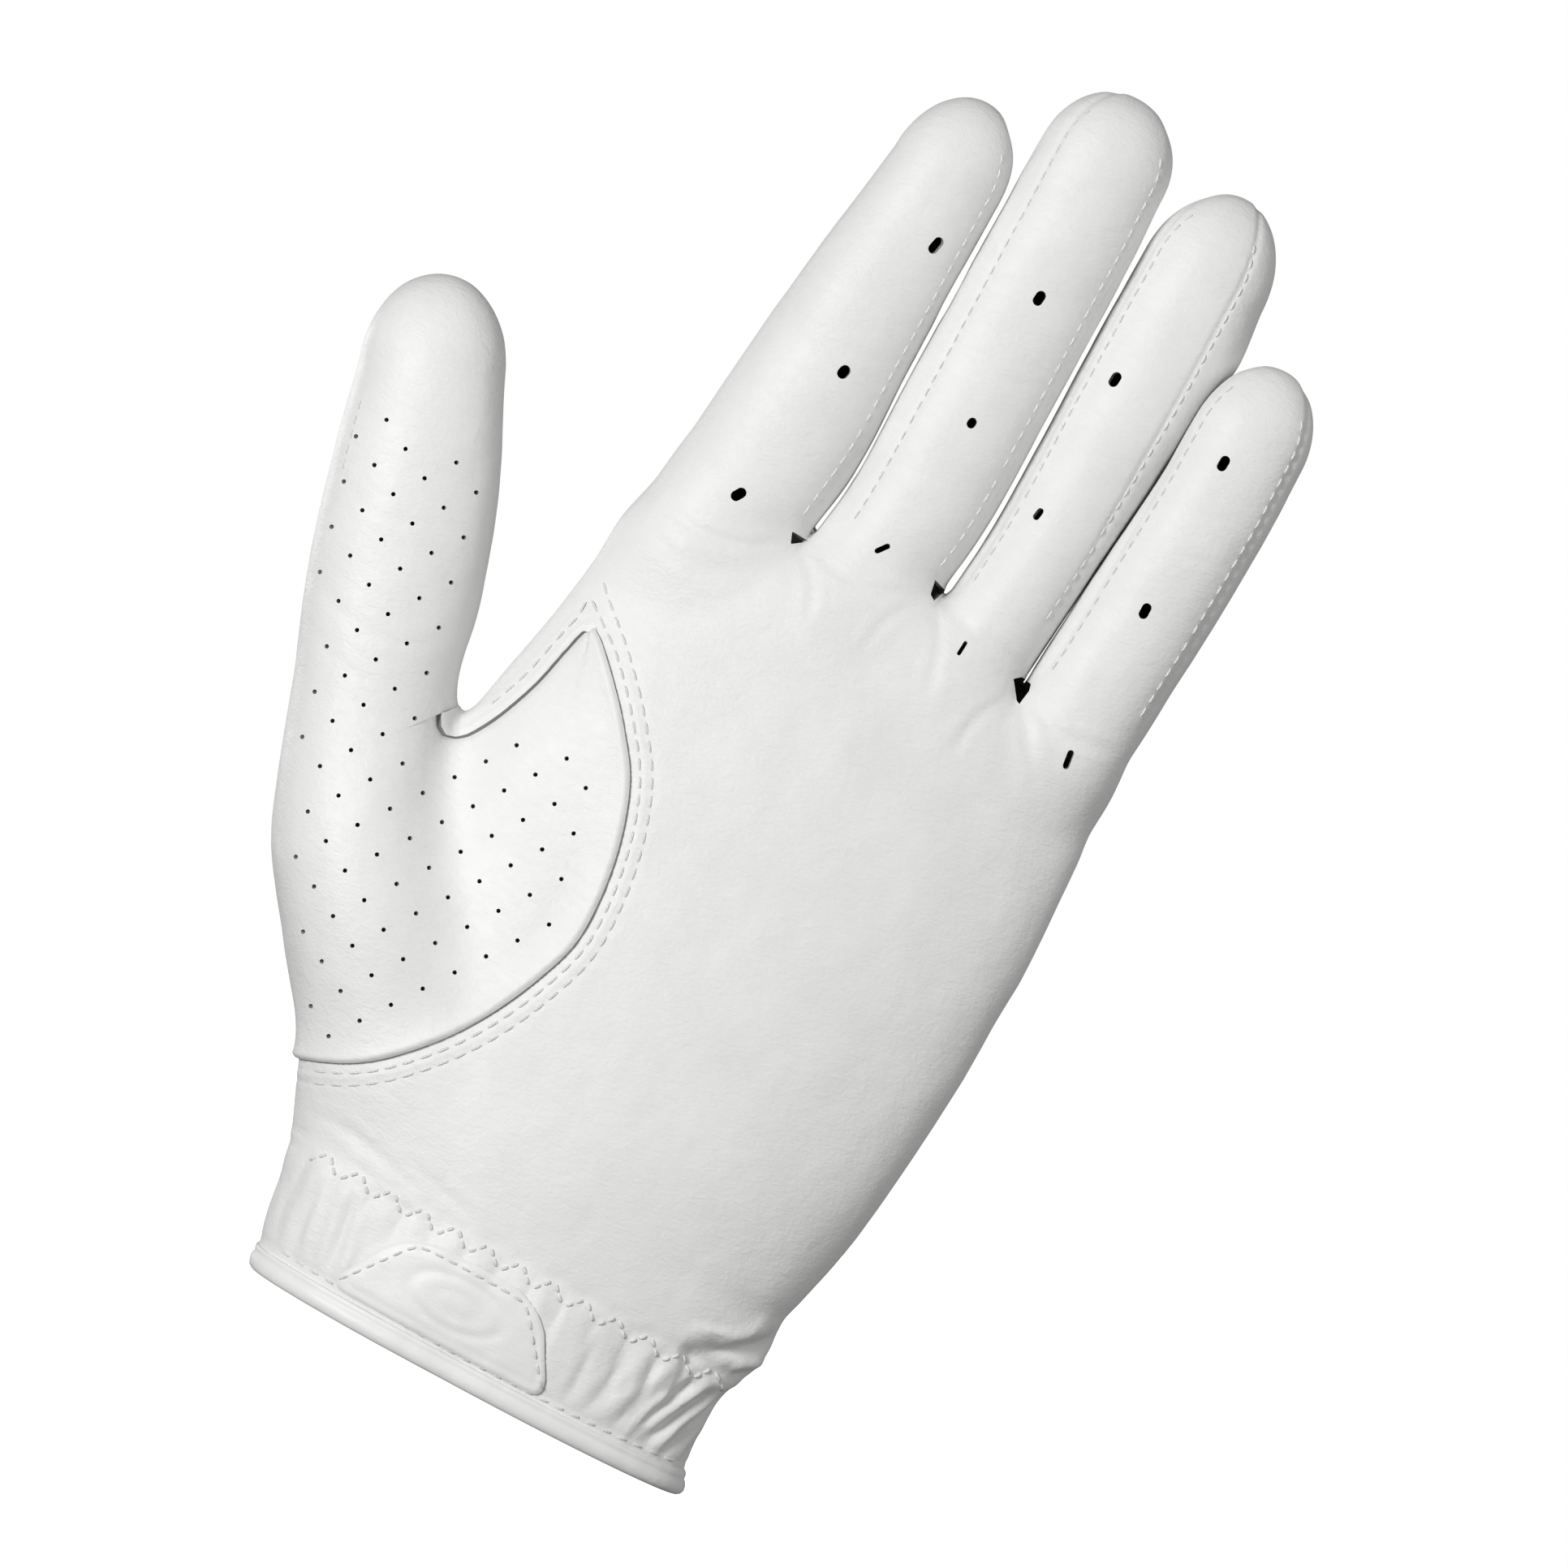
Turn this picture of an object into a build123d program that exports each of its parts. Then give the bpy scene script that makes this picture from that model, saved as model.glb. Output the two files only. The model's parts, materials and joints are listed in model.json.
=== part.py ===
"""Leather golf glove for the left hand, filled out as if a hand were in it.

Frame: the wrist opening's rim lies in the plane z = 0 and its centre is the origin.
+Z runs to the fingertips, the palm faces -Y, and the thumb is on the -X side.
All dimensions are in millimetres.
"""
from build123d import *
from math import cos, radians, sin, tan
import os

os.makedirs("parts", exist_ok=True)

# ---------------------------------------------------------------- driving dimensions
LEATHER = 0.8            # thickness of the leather skin
CORNER = 0.42            # corner radius of a cross-section, as a share of its smaller side
SLIT = 0.3               # gap left where one moving section meets the next
SKIN_GAP = 0.02          # gap between two layers that are sewn together
BEND_MARGIN = 2.0        # degrees added to each mitre beyond half the joint's range
BEND_Y = -1.5            # the finger joints lie a little towards the palm side
REACH = 400.0            # side of a cutting block that is larger than the glove
BEND_BLOCK_DEPTH = 40.0  # how far a joint's cutting block goes in front of and behind the joint
BEND_BLOCK_HALF = 60.0   # half of its length along the joint's axis

BASE_FLEX = 70.0         # range of a finger's lower joint, degrees
MID_FLEX = 80.0          # range of a finger's middle joint
THUMB_FLEX = 50.0        # range of the thumb's lower joint
THUMB_TIP_FLEX = 60.0    # range of the thumb's upper joint

BINDING_HEIGHT = 3.7     # rolled binding round the rim
BINDING_PROUD = 0.6      # how far the binding stands out of the cuff
CUFF_TOP = 20.5          # line of the zigzag stitching, where the gathered cuff ends
PALM_TOP = 134.0         # web line, where the fingers leave the palm
ELASTIC_LOW = 16.2       # lower edge of the elastic sewn inside the wrist
ELASTIC_THICK = 0.7
FINGER_START = 112.0     # height inside the palm where the finger forms begin
FOURCHETTE = 4.0         # half width of the side strips between the fingers

# palm and cuff cross-sections: height, left edge, right edge, depth
PALM_SECTIONS = [
    (0.0, -36.2, 36.2, 36.0),
    (20.5, -40.3, 38.6, 37.0),
    (36.0, -43.0, 39.8, 36.0),
    (60.0, -45.0, 43.4, 34.0),
    (82.0, -45.5, 45.6, 32.0),
    (98.0, -42.0, 46.2, 30.5),
    (118.0, -40.8, 45.6, 27.0),
    (PALM_TOP, -39.3, 44.9, 21.5),
]

# fingers: (height, centre x, width, depth) up to where the tip starts, then tip and joints
FINGERS = {
    "index": {
        "sections": [(137.0, -26.3, 23.8, 20.5), (161.0, -24.6, 24.0, 20.0), (196.0, -22.2, 20.0, 17.5)],
        "tip": 206.3, "base_joint": 143.5, "mid_joint": 168.0, "sides": (1,),
    },
    "middle": {
        "sections": [(139.0, -3.0, 20.0, 21.0), (165.0, -1.9, 20.2, 20.5), (206.0, -1.7, 19.4, 18.0)],
        "tip": 218.4, "base_joint": 146.0, "mid_joint": 172.0, "sides": (-1, 1),
    },
    "ring": {
        "sections": [(139.0, 16.3, 15.6, 20.0), (165.0, 17.9, 17.6, 19.5), (200.0, 18.9, 18.0, 17.0)],
        "tip": 212.8, "base_joint": 145.0, "mid_joint": 170.0, "sides": (-1, 1),
    },
    "little": {
        "sections": [(132.0, 34.2, 18.6, 18.0), (165.0, 36.4, 18.2, 17.0), (181.0, 37.7, 17.2, 15.5)],
        "tip": 191.5, "base_joint": 140.0, "mid_joint": 162.0, "sides": (-1,),
    },
}

# thumb: centre x, height, lean of the axis in degrees, width, depth
THUMB_SECTIONS = [
    (-27.0, 27.0, 38.0, 30.0, 30.0),
    (-43.0, 52.0, 33.0, 28.0, 31.0),
    (-59.6, 79.5, 24.0, 24.5, 26.0),
    (-68.0, 106.5, 18.0, 26.0, 23.5),
    (-75.5, 130.0, 17.0, 23.0, 20.5),
]
THUMB_DOME = 14.8                        # height of the rounded thumb tip
THUMB_JOINT = (-59.6, 79.5, 22.0)        # centre x, height, lean of the lower joint
THUMB_TIP_JOINT = (-69.8, 112.0, 18.0)   # the same for the upper joint

# perforated thumb panel on the palm side: the arc from its peak to the wrist, the end past the
# thumb's outer edge, and the edge that runs from the crotch back up to the peak (x, z)
PANEL_ARC = [(-37.3, 108.2), (-20.5, 91.6), (-16.0, 68.0), (-26.3, 45.6), (-44.7, 31.5)]
PANEL_OUTER = [(-100.0, 20.0), (-100.0, 120.0)]
PANEL_CROTCH = [(-52.0, 87.5), (-48.6, 84.6), (-43.6, 88.2), (-40.7, 93.2)]

# V slit in the back of the wrist, and its bound edge
SLIT_TOP = 60.0
SLIT_HALF_LOW = 5.0
SLIT_HALF_HIGH = 1.5
SLIT_OVERRUN = 5.0       # how far the slit's cutting block runs below the rim
BOUND_WIDTH = 2.4
BOUND_PROUD = 0.5

# closure tab across the slit: it is sewn down at its +X end and opens from its -X end
TAB_FREE_X = -25.0
TAB_HINGE_X = 13.0
TAB_SEWN_X = 20.0
TAB_LOW = 26.0
TAB_HIGH = 52.0
TAB_CORNER = 8.0
HOOK_MARGIN = 3.5
LOOP_RIGHT_X = -6.0
PILE = 1.0               # thickness of each half of the hook-and-loop fastening
TAB_LEATHER = 1.2
TAB_LINING = 0.4
LINING_INSET = 2.0

# embossed patch sewn on the palm side of the cuff
PATCH_CENTRE_X = -6.5
PATCH_LOW_HALF = 18.5
PATCH_HIGH_HALF = 11.5
PATCH_LOW = 4.4
PATCH_HIGH = 17.3
PATCH_THICK = 0.8
PATCH_CORNER = 3.0

# zigzag thread that holds the elastic, along the top of the gathered cuff
ZIGZAG_TEETH = 14
ZIGZAG_LEFT = -39.0
ZIGZAG_RIGHT = 37.5
ZIGZAG_LOW = 18.9
ZIGZAG_HIGH = 21.3
THREAD = 0.5

DOME_ANGLES = (32.0, 56.0, 74.0, 86.0)   # stations round a fingertip, degrees from its start


# ---------------------------------------------------------------- forms
def level(x, z):
    """Horizontal plane with its centre over x, at height z."""
    return Plane(origin=(x, 0, z), x_dir=(1, 0, 0), z_dir=(0, 0, 1))


def leaning(x, z, lean):
    """Cross-section plane of the thumb: its axis leans towards -X by lean degrees."""
    a = radians(lean)
    return Plane(origin=(x, 0, z), x_dir=(cos(a), 0, sin(a)), z_dir=(-sin(a), 0, cos(a)))


def form(stations, grow):
    """Solid through rounded rectangles (plane, width, depth), its wall moved out by grow."""
    with BuildPart() as body:
        for plane, width, depth in stations:
            wide = width + 2 * grow
            deep = depth + 2 * grow
            with BuildSketch(plane):
                RectangleRounded(wide, deep, CORNER * min(wide, deep))
        loft(ruled=True)
    return body.part


def palm_form(grow):
    """Palm and cuff. Its upper end also moves with grow, its lower end stays open at z = 0."""
    stations = []
    for z, left, right, depth in PALM_SECTIONS:
        height = z + grow if z == PALM_TOP else z
        stations.append((level((left + right) / 2, height), right - left, depth))
    return form(stations, grow)


def with_dome(stations, place, width, depth, height, grow):
    """Adds the stations of a rounded tip; place(rise) gives the plane at a rise above its start."""
    for angle in DOME_ANGLES:
        share = cos(radians(angle)) ** 0.8
        rise = (height + grow) * sin(radians(angle))
        # the sizes carry grow inside them, so that the inner tip shrinks in proportion
        wide = (width + 2 * grow) * share - 2 * grow
        deep = (depth + 2 * grow) * share - 2 * grow
        stations.append((place(rise), wide, deep))
    return stations


def finger_form(finger, grow):
    z0, x0, w0, d0 = finger["sections"][0]
    z1, x1, w1, d1 = finger["sections"][-1]
    slope = (x1 - x0) / (z1 - z0)
    stations = [(level(x0 - slope * (z0 - FINGER_START), FINGER_START), w0, d0)]
    stations += [(level(x, z), w, d) for z, x, w, d in finger["sections"]]

    def place(rise):
        return level(x1 + slope * rise / 2, z1 + rise)

    return form(with_dome(stations, place, w1, d1, finger["tip"] - z1, grow), grow)


def thumb_form(grow):
    stations = [(leaning(x, z, lean), w, d) for x, z, lean, w, d in THUMB_SECTIONS]
    x1, z1, lean, w1, d1 = THUMB_SECTIONS[-1]
    a = radians(lean)

    def place(rise):
        return leaning(x1 - sin(a) * rise, z1 + cos(a) * rise, lean)

    return form(with_dome(stations, place, w1, d1, THUMB_DOME, grow), grow)


# ---------------------------------------------------------------- cutting blocks
def prism(plane, points, half_length):
    """Straight prism of a polygon in a plane, half_length to each side of the plane."""
    with BuildPart() as block:
        with BuildSketch(plane):
            with BuildLine():
                Polyline(*points, close=True)
            make_face()
        extrude(amount=half_length, both=True)
    return block.part


def slab(x=(-REACH, REACH), y=(-REACH, REACH), z=(-REACH, REACH)):
    """Rectangular block between the given limits."""
    with BuildPart() as block:
        with Locations(((x[0] + x[1]) / 2, (y[0] + y[1]) / 2, (z[0] + z[1]) / 2)):
            Box(x[1] - x[0], y[1] - y[0], z[1] - z[0])
    return block.part


def bend_plane(x, z, lean=0.0):
    """Plane across a joint's axis: its x is world +Y and its y runs up the finger."""
    a = radians(lean)
    return Plane(origin=(x, BEND_Y, z), x_dir=(0, 1, 0), z_dir=(cos(a), 0, sin(a)))


def bend_block(plane, flex, which):
    """What lies 'above', 'below' or in the 'crease' of a joint that flexes towards -Y.

    The palm side is mitred on both sides of the joint, so that nothing meets at full flex,
    and the crease is the wedge of leather that folds there.
    """
    slope = tan(radians(flex / 2 + BEND_MARGIN))
    half = SLIT / 2
    far = BEND_BLOCK_DEPTH
    rise = far * slope + half
    if which == "above":
        points = [(-far, rise), (0, half), (far, half), (far, REACH), (-far, REACH)]
    elif which == "below":
        points = [(-far, -rise), (0, -half), (far, -half), (far, -REACH), (-far, -REACH)]
    else:
        start = (half + SLIT) / slope
        points = [(-far, rise - 2 * SLIT), (-start, 0), (-far, -rise + 2 * SLIT)]
    return prism(plane, points, BEND_BLOCK_HALF)


def piece(name, solid, keep=(), cut=()):
    """One piece of leather: a solid kept inside some blocks and cut away by others."""
    with BuildPart() as made:
        add(solid)
        for block in keep:
            add(block, mode=Mode.INTERSECT)
        for block in cut:
            add(block, mode=Mode.SUBTRACT)
    made.part.label = name
    export_step(made.part, f"parts/{name}.step")


# ---------------------------------------------------------------- whole forms
FRONT = slab(y=(-REACH, 0))
BACK = slab(y=(0, REACH))

palm_outer = palm_form(0)
palm_inner = palm_form(-LEATHER)
thumb_outer = thumb_form(0)
thumb_inner = thumb_form(-LEATHER)
finger_outer = {name: finger_form(finger, 0) for name, finger in FINGERS.items()}
finger_inner = {name: finger_form(finger, -LEATHER) for name, finger in FINGERS.items()}


def joint_planes(finger):
    """The bending planes of a finger's lower and middle joints."""
    planes = []
    for key in ("base_joint", "mid_joint"):
        z1, x1 = finger["sections"][0][:2]
        z2, x2 = finger["sections"][-1][:2]
        z = finger[key]
        planes.append(bend_plane(x1 + (x2 - x1) * (z - z1) / (z2 - z1), z))
    return planes


# ---------------------------------------------------------------- fingers
def strip_zone(finger):
    """Zone of the fourchettes: the strips that join palm and back between the fingers."""
    x = finger["sections"][1][1]
    if finger["sides"] == (-1, 1):
        return slab(y=(-FOURCHETTE, FOURCHETTE))
    if finger["sides"] == (1,):
        return slab(x=(x, REACH), y=(-FOURCHETTE, FOURCHETTE))
    return slab(x=(-REACH, x), y=(-FOURCHETTE, FOURCHETTE))


for name, finger in FINGERS.items():
    with BuildPart() as skin:
        add(finger_outer[name])
        add(finger_inner[name], mode=Mode.SUBTRACT)
    base_plane, mid_plane = joint_planes(finger)
    over_base = bend_block(base_plane, BASE_FLEX, "above")
    under_mid = bend_block(mid_plane, MID_FLEX, "below")
    over_mid = bend_block(mid_plane, MID_FLEX, "above")
    zone = strip_zone(finger)
    for part_of, blocks in (("lower", [over_base, under_mid]), ("upper", [over_mid])):
        piece(f"{name}_{part_of}_palm_leather", skin.part, blocks + [FRONT], [zone])
        piece(f"{name}_{part_of}_back_leather", skin.part, blocks + [BACK], [zone])
        piece(f"{name}_{part_of}_fourchettes", skin.part, blocks + [zone])
    piece(f"{name}_base_crease", skin.part, [bend_block(base_plane, BASE_FLEX, "crease")])
    piece(f"{name}_middle_crease", skin.part, [bend_block(mid_plane, MID_FLEX, "crease")])

# ---------------------------------------------------------------- thumb
with BuildPart() as thumb_skin:
    add(thumb_outer)
    add(thumb_inner, mode=Mode.SUBTRACT)
thumb_plane = bend_plane(*THUMB_JOINT)
thumb_tip_plane = bend_plane(*THUMB_TIP_JOINT)
over_thumb = bend_block(thumb_plane, THUMB_FLEX, "above")
under_thumb_tip = bend_block(thumb_tip_plane, THUMB_TIP_FLEX, "below")
over_thumb_tip = bend_block(thumb_tip_plane, THUMB_TIP_FLEX, "above")
for part_of, blocks in (("lower", [over_thumb, under_thumb_tip]), ("upper", [over_thumb_tip])):
    piece(f"thumb_{part_of}_front_leather", thumb_skin.part, blocks + [FRONT])
    piece(f"thumb_{part_of}_back_leather", thumb_skin.part, blocks + [BACK])
piece("thumb_base_crease", thumb_skin.part, [bend_block(thumb_plane, THUMB_FLEX, "crease")],
      [palm_outer])
piece("thumb_middle_crease", thumb_skin.part,
      [bend_block(thumb_tip_plane, THUMB_TIP_FLEX, "crease")])

# ---------------------------------------------------------------- palm, back and thumb panel
below_thumb = bend_block(thumb_plane, THUMB_FLEX, "below")
finger_stubs = []
for name, finger in FINGERS.items():
    below_finger = bend_block(joint_planes(finger)[0], BASE_FLEX, "below")
    with BuildPart() as stub:
        add(finger_outer[name])
        add(below_finger, mode=Mode.INTERSECT)
    finger_stubs.append(stub.part)
with BuildPart() as hand_skin:
    add(thumb_outer)
    add(below_thumb, mode=Mode.INTERSECT)
    add(palm_outer)
    add(finger_stubs)
    add(palm_inner, mode=Mode.SUBTRACT)
    add(thumb_inner, mode=Mode.SUBTRACT)
    for name in FINGERS:
        add(finger_inner[name], mode=Mode.SUBTRACT)

with BuildPart() as thumb_panel_zone:
    with BuildSketch(Plane.XZ):
        with BuildLine():
            inner_edge = Spline(*PANEL_ARC)
            Polyline(inner_edge @ 1, *PANEL_OUTER, *PANEL_CROTCH, inner_edge @ 0)
        make_face()
    extrude(amount=REACH)

above_cuff = slab(z=(CUFF_TOP, REACH))
cuff_band = slab(z=(BINDING_HEIGHT, CUFF_TOP))
rim_band = slab(z=(0, BINDING_HEIGHT))


def slit_wedge(extra):
    """The V of the wrist slit on the back, wider by extra at each side."""
    low = SLIT_HALF_LOW + extra
    high = SLIT_HALF_HIGH + extra
    below = -SLIT_OVERRUN
    points = [(-low, below), (low, below), (high, SLIT_TOP + extra), (-high, SLIT_TOP + extra)]
    plane = Plane(origin=(0, REACH / 2, 0), x_dir=(1, 0, 0), z_dir=(0, -1, 0))
    return prism(plane, points, REACH / 2)


slit_open = slit_wedge(0)
slit_bound = slit_wedge(BOUND_WIDTH)

piece("palm_leather", hand_skin.part, [FRONT, above_cuff], [thumb_panel_zone.part])
piece("thumb_panel", hand_skin.part, [FRONT, above_cuff, thumb_panel_zone.part])
piece("back_leather", hand_skin.part, [BACK, above_cuff], [slit_bound])
piece("cuff_palm_leather", hand_skin.part, [FRONT, cuff_band])
piece("cuff_back_leather", hand_skin.part, [BACK, cuff_band], [slit_bound])

# ---------------------------------------------------------------- trims of the wrist
binding_outer = palm_form(BINDING_PROUD)
binding_inner = palm_form(-LEATHER - BINDING_PROUD)
piece("cuff_binding", binding_outer, [rim_band], [binding_inner, slit_bound])

bound_outer = palm_form(BOUND_PROUD)
bound_inner = palm_form(-LEATHER - BOUND_PROUD)
piece("slit_binding", bound_outer, [slit_bound, BACK, slab(z=(0, REACH))], [bound_inner, slit_open])

elastic_outer = palm_form(-LEATHER - SKIN_GAP)
elastic_inner = palm_form(-LEATHER - SKIN_GAP - ELASTIC_THICK)
piece("wrist_elastic", elastic_outer, [FRONT, slab(z=(ELASTIC_LOW, CUFF_TOP))], [elastic_inner])

with BuildPart() as patch_zone:
    with BuildSketch(Plane.XZ):
        with BuildLine():
            Polyline((PATCH_CENTRE_X - PATCH_LOW_HALF, PATCH_LOW),
                     (PATCH_CENTRE_X + PATCH_LOW_HALF, PATCH_LOW),
                     (PATCH_CENTRE_X + PATCH_HIGH_HALF, PATCH_HIGH),
                     (PATCH_CENTRE_X - PATCH_HIGH_HALF, PATCH_HIGH), close=True)
        upper = make_face().vertices().group_by(Axis.Y)[-1]
        fillet(upper, PATCH_CORNER)
    extrude(amount=REACH)
patch_outer = palm_form(PATCH_THICK)
patch_inner = palm_form(SKIN_GAP)
piece("cuff_patch", patch_outer, [patch_zone.part], [patch_inner])

zigzag_steps = 2 * ZIGZAG_TEETH
zigzag = []
for step in range(zigzag_steps + 1):
    x = ZIGZAG_LEFT + (ZIGZAG_RIGHT - ZIGZAG_LEFT) * step / zigzag_steps
    zigzag.append((x, ZIGZAG_HIGH if step % 2 else ZIGZAG_LOW))
thread_band = zigzag + [(x, z + THREAD) for x, z in reversed(zigzag)]
thread_plane = Plane(origin=(0, -REACH / 2, 0), x_dir=(1, 0, 0), z_dir=(0, -1, 0))
thread_zone = prism(thread_plane, thread_band, REACH / 2)
piece("zigzag_stitching", palm_form(THREAD), [thread_zone], [patch_inner])

# ---------------------------------------------------------------- closure tab and fastening
def back_layer(name, low, high, x, z, corner=None):
    """A layer of the closure between two heights over the back, on a rounded rectangle."""
    plane = Plane(origin=((x[0] + x[1]) / 2, 0, (z[0] + z[1]) / 2), x_dir=(-1, 0, 0), z_dir=(0, 1, 0))
    with BuildPart() as outline:
        with BuildSketch(plane):
            Rectangle(x[1] - x[0], z[1] - z[0])
            if corner:
                fillet(vertices().group_by(Axis.X)[0], corner)
        extrude(amount=REACH)
    piece(name, palm_form(high), [outline.part], [palm_form(low)])


pile_z = (TAB_LOW + HOOK_MARGIN, TAB_HIGH - HOOK_MARGIN)
hook_x = (TAB_FREE_X + HOOK_MARGIN, LOOP_RIGHT_X)
loop_low = SKIN_GAP
hook_low = loop_low + PILE + SLIT
lining_low = hook_low + PILE + SKIN_GAP
tab_low = lining_low + TAB_LINING + SKIN_GAP
tab_high = tab_low + TAB_LEATHER
back_layer("loop_patch", loop_low, loop_low + PILE, hook_x, pile_z)
back_layer("hook_patch", hook_low, hook_low + PILE, hook_x, pile_z)
back_layer("tab_lining", lining_low, lining_low + TAB_LINING, (TAB_FREE_X + LINING_INSET, TAB_HINGE_X),
           (TAB_LOW + LINING_INSET, TAB_HIGH - LINING_INSET), TAB_CORNER - LINING_INSET)
back_layer("closure_tab", tab_low, tab_high, (TAB_FREE_X, TAB_HINGE_X), (TAB_LOW, TAB_HIGH), TAB_CORNER)
back_layer("tab_anchor", loop_low, tab_high, (TAB_HINGE_X + SLIT, TAB_SEWN_X), (TAB_LOW, TAB_HIGH))
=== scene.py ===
"""The looks of the golf glove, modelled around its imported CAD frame.

The glove's skin is a level set: the smooth union of a palm, four fingers and a thumb. It is meshed
body by body, cut along its real seams, and given its folds, pleats and turned edges.
Lengths in this script are millimetres until a mesh is made, where they become metres.
"""

import json
import math
from itertools import chain

import bpy
import numpy as np
import openvdb
from mathutils import Matrix, Vector


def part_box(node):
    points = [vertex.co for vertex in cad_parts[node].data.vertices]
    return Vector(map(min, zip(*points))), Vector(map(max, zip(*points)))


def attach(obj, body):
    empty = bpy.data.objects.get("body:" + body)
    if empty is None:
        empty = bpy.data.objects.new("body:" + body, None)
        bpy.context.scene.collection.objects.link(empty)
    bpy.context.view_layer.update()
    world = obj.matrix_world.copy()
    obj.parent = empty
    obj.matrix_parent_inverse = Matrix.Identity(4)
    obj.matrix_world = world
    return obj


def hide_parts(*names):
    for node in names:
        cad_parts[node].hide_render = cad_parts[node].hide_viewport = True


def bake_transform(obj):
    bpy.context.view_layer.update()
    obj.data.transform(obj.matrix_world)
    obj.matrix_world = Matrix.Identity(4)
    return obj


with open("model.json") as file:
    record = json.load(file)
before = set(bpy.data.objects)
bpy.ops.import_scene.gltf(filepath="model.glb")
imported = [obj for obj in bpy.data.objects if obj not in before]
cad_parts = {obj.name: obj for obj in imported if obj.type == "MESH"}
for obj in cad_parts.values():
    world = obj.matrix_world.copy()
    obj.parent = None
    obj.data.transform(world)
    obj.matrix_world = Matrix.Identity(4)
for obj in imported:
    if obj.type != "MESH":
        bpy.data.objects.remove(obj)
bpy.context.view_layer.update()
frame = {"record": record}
MM = 0.001
JOINTS = {joint["name"]: joint for joint in frame["record"]["behaviour"]["joints"]}


# ---------------------------------------------------------------- places taken from the frame
def joint_at(name):
    """Position of a joint, in millimetres."""
    return np.array(JOINTS[name]["pos_m"]) / MM


def span(node):
    """Lowest and highest corner of a CAD node, in millimetres."""
    low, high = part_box(node)
    return np.array(low) / MM, np.array(high) / MM


RIM = span("cuff_binding")[0][2]
BINDING_TOP = span("cuff_binding")[1][2]
CUFF_TOP = span("cuff_palm_leather")[1][2]
THUMB_AT = joint_at("thumb_base_bend")
THUMB_LEAN = math.atan2(JOINTS["thumb_base_bend"]["axis"][2], JOINTS["thumb_base_bend"]["axis"][0])

VOXEL = 0.62             # pitch of the level set
LEATHER = 0.85           # thickness of the skin
WEB = 3.6                # rounding where a finger leaves the palm
CROTCH = 7.0             # rounding between thumb and palm
STUB_START = 104.0       # below this height the fingers add nothing to the palm
STUB_END = 127.0         # below this height their stubs start to sink into it
STUB_FADE = 42.0         # how gently they sink
STUB_OVER = 2.5          # how far a stub runs on past its cut
WEB_TOP = 8.0            # rounding of the palm's top edge at the webs
FINGER_ROUND = 2.25      # how square the section of a finger is, and of the thumb
THUMB_ROUND = 2.2
PRESS = 0.7              # rounding of the flats where fingers touch
TOUCH = 0.16             # half of the gap between two fingers that touch

# palm and cuff: (height, value) along the hand
PALM_LEFT = [(-6, -35.6), (0, -36.2), (8, -38.3), (19, -39.6), (28, -41.6), (45, -44.0), (62, -45.4),
             (82, -46.0), (90, -46.1), (96, -45.3), (103, -43.8), (108, -42.7), (114, -41.7), (122, -40.6),
             (130, -39.2), (140, -38.2)]
PALM_RIGHT = [(-6, 36.2), (0, 36.0), (4, 35.4), (13, 35.2), (18, 35.7), (21.5, 37.3), (26.5, 38.2),
              (30.5, 37.8), (34, 38.7), (46, 41.4), (62, 43.6), (81, 44.8), (95, 45.2), (108, 44.6),
              (122, 43.8), (140, 44.6)]
PALM_FRONT = [(-6, 17.2), (0, 17.6), (12, 18.6), (20, 18.2), (34, 18.6), (60, 17.2), (82, 15.4),
              (104, 13.6), (120, 12.4), (134, 10.6)]
PALM_BACK = [(-6, 17.2), (0, 17.6), (12, 18.4), (20, 18.2), (34, 18.0), (60, 17.2), (82, 16.4),
             (104, 15.2), (120, 13.4), (134, 10.8)]

ROUND_LEFT = 2.3         # how square the palm's section is: 2 is an ellipse
ROUND_RIGHT = 2.05
# height of the webs across the hand
WEBS = [(-42, 131.0), (-15.6, 134.3), (6.5, 137.0), (24.6, 130.0), (46, 127.0)]

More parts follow.
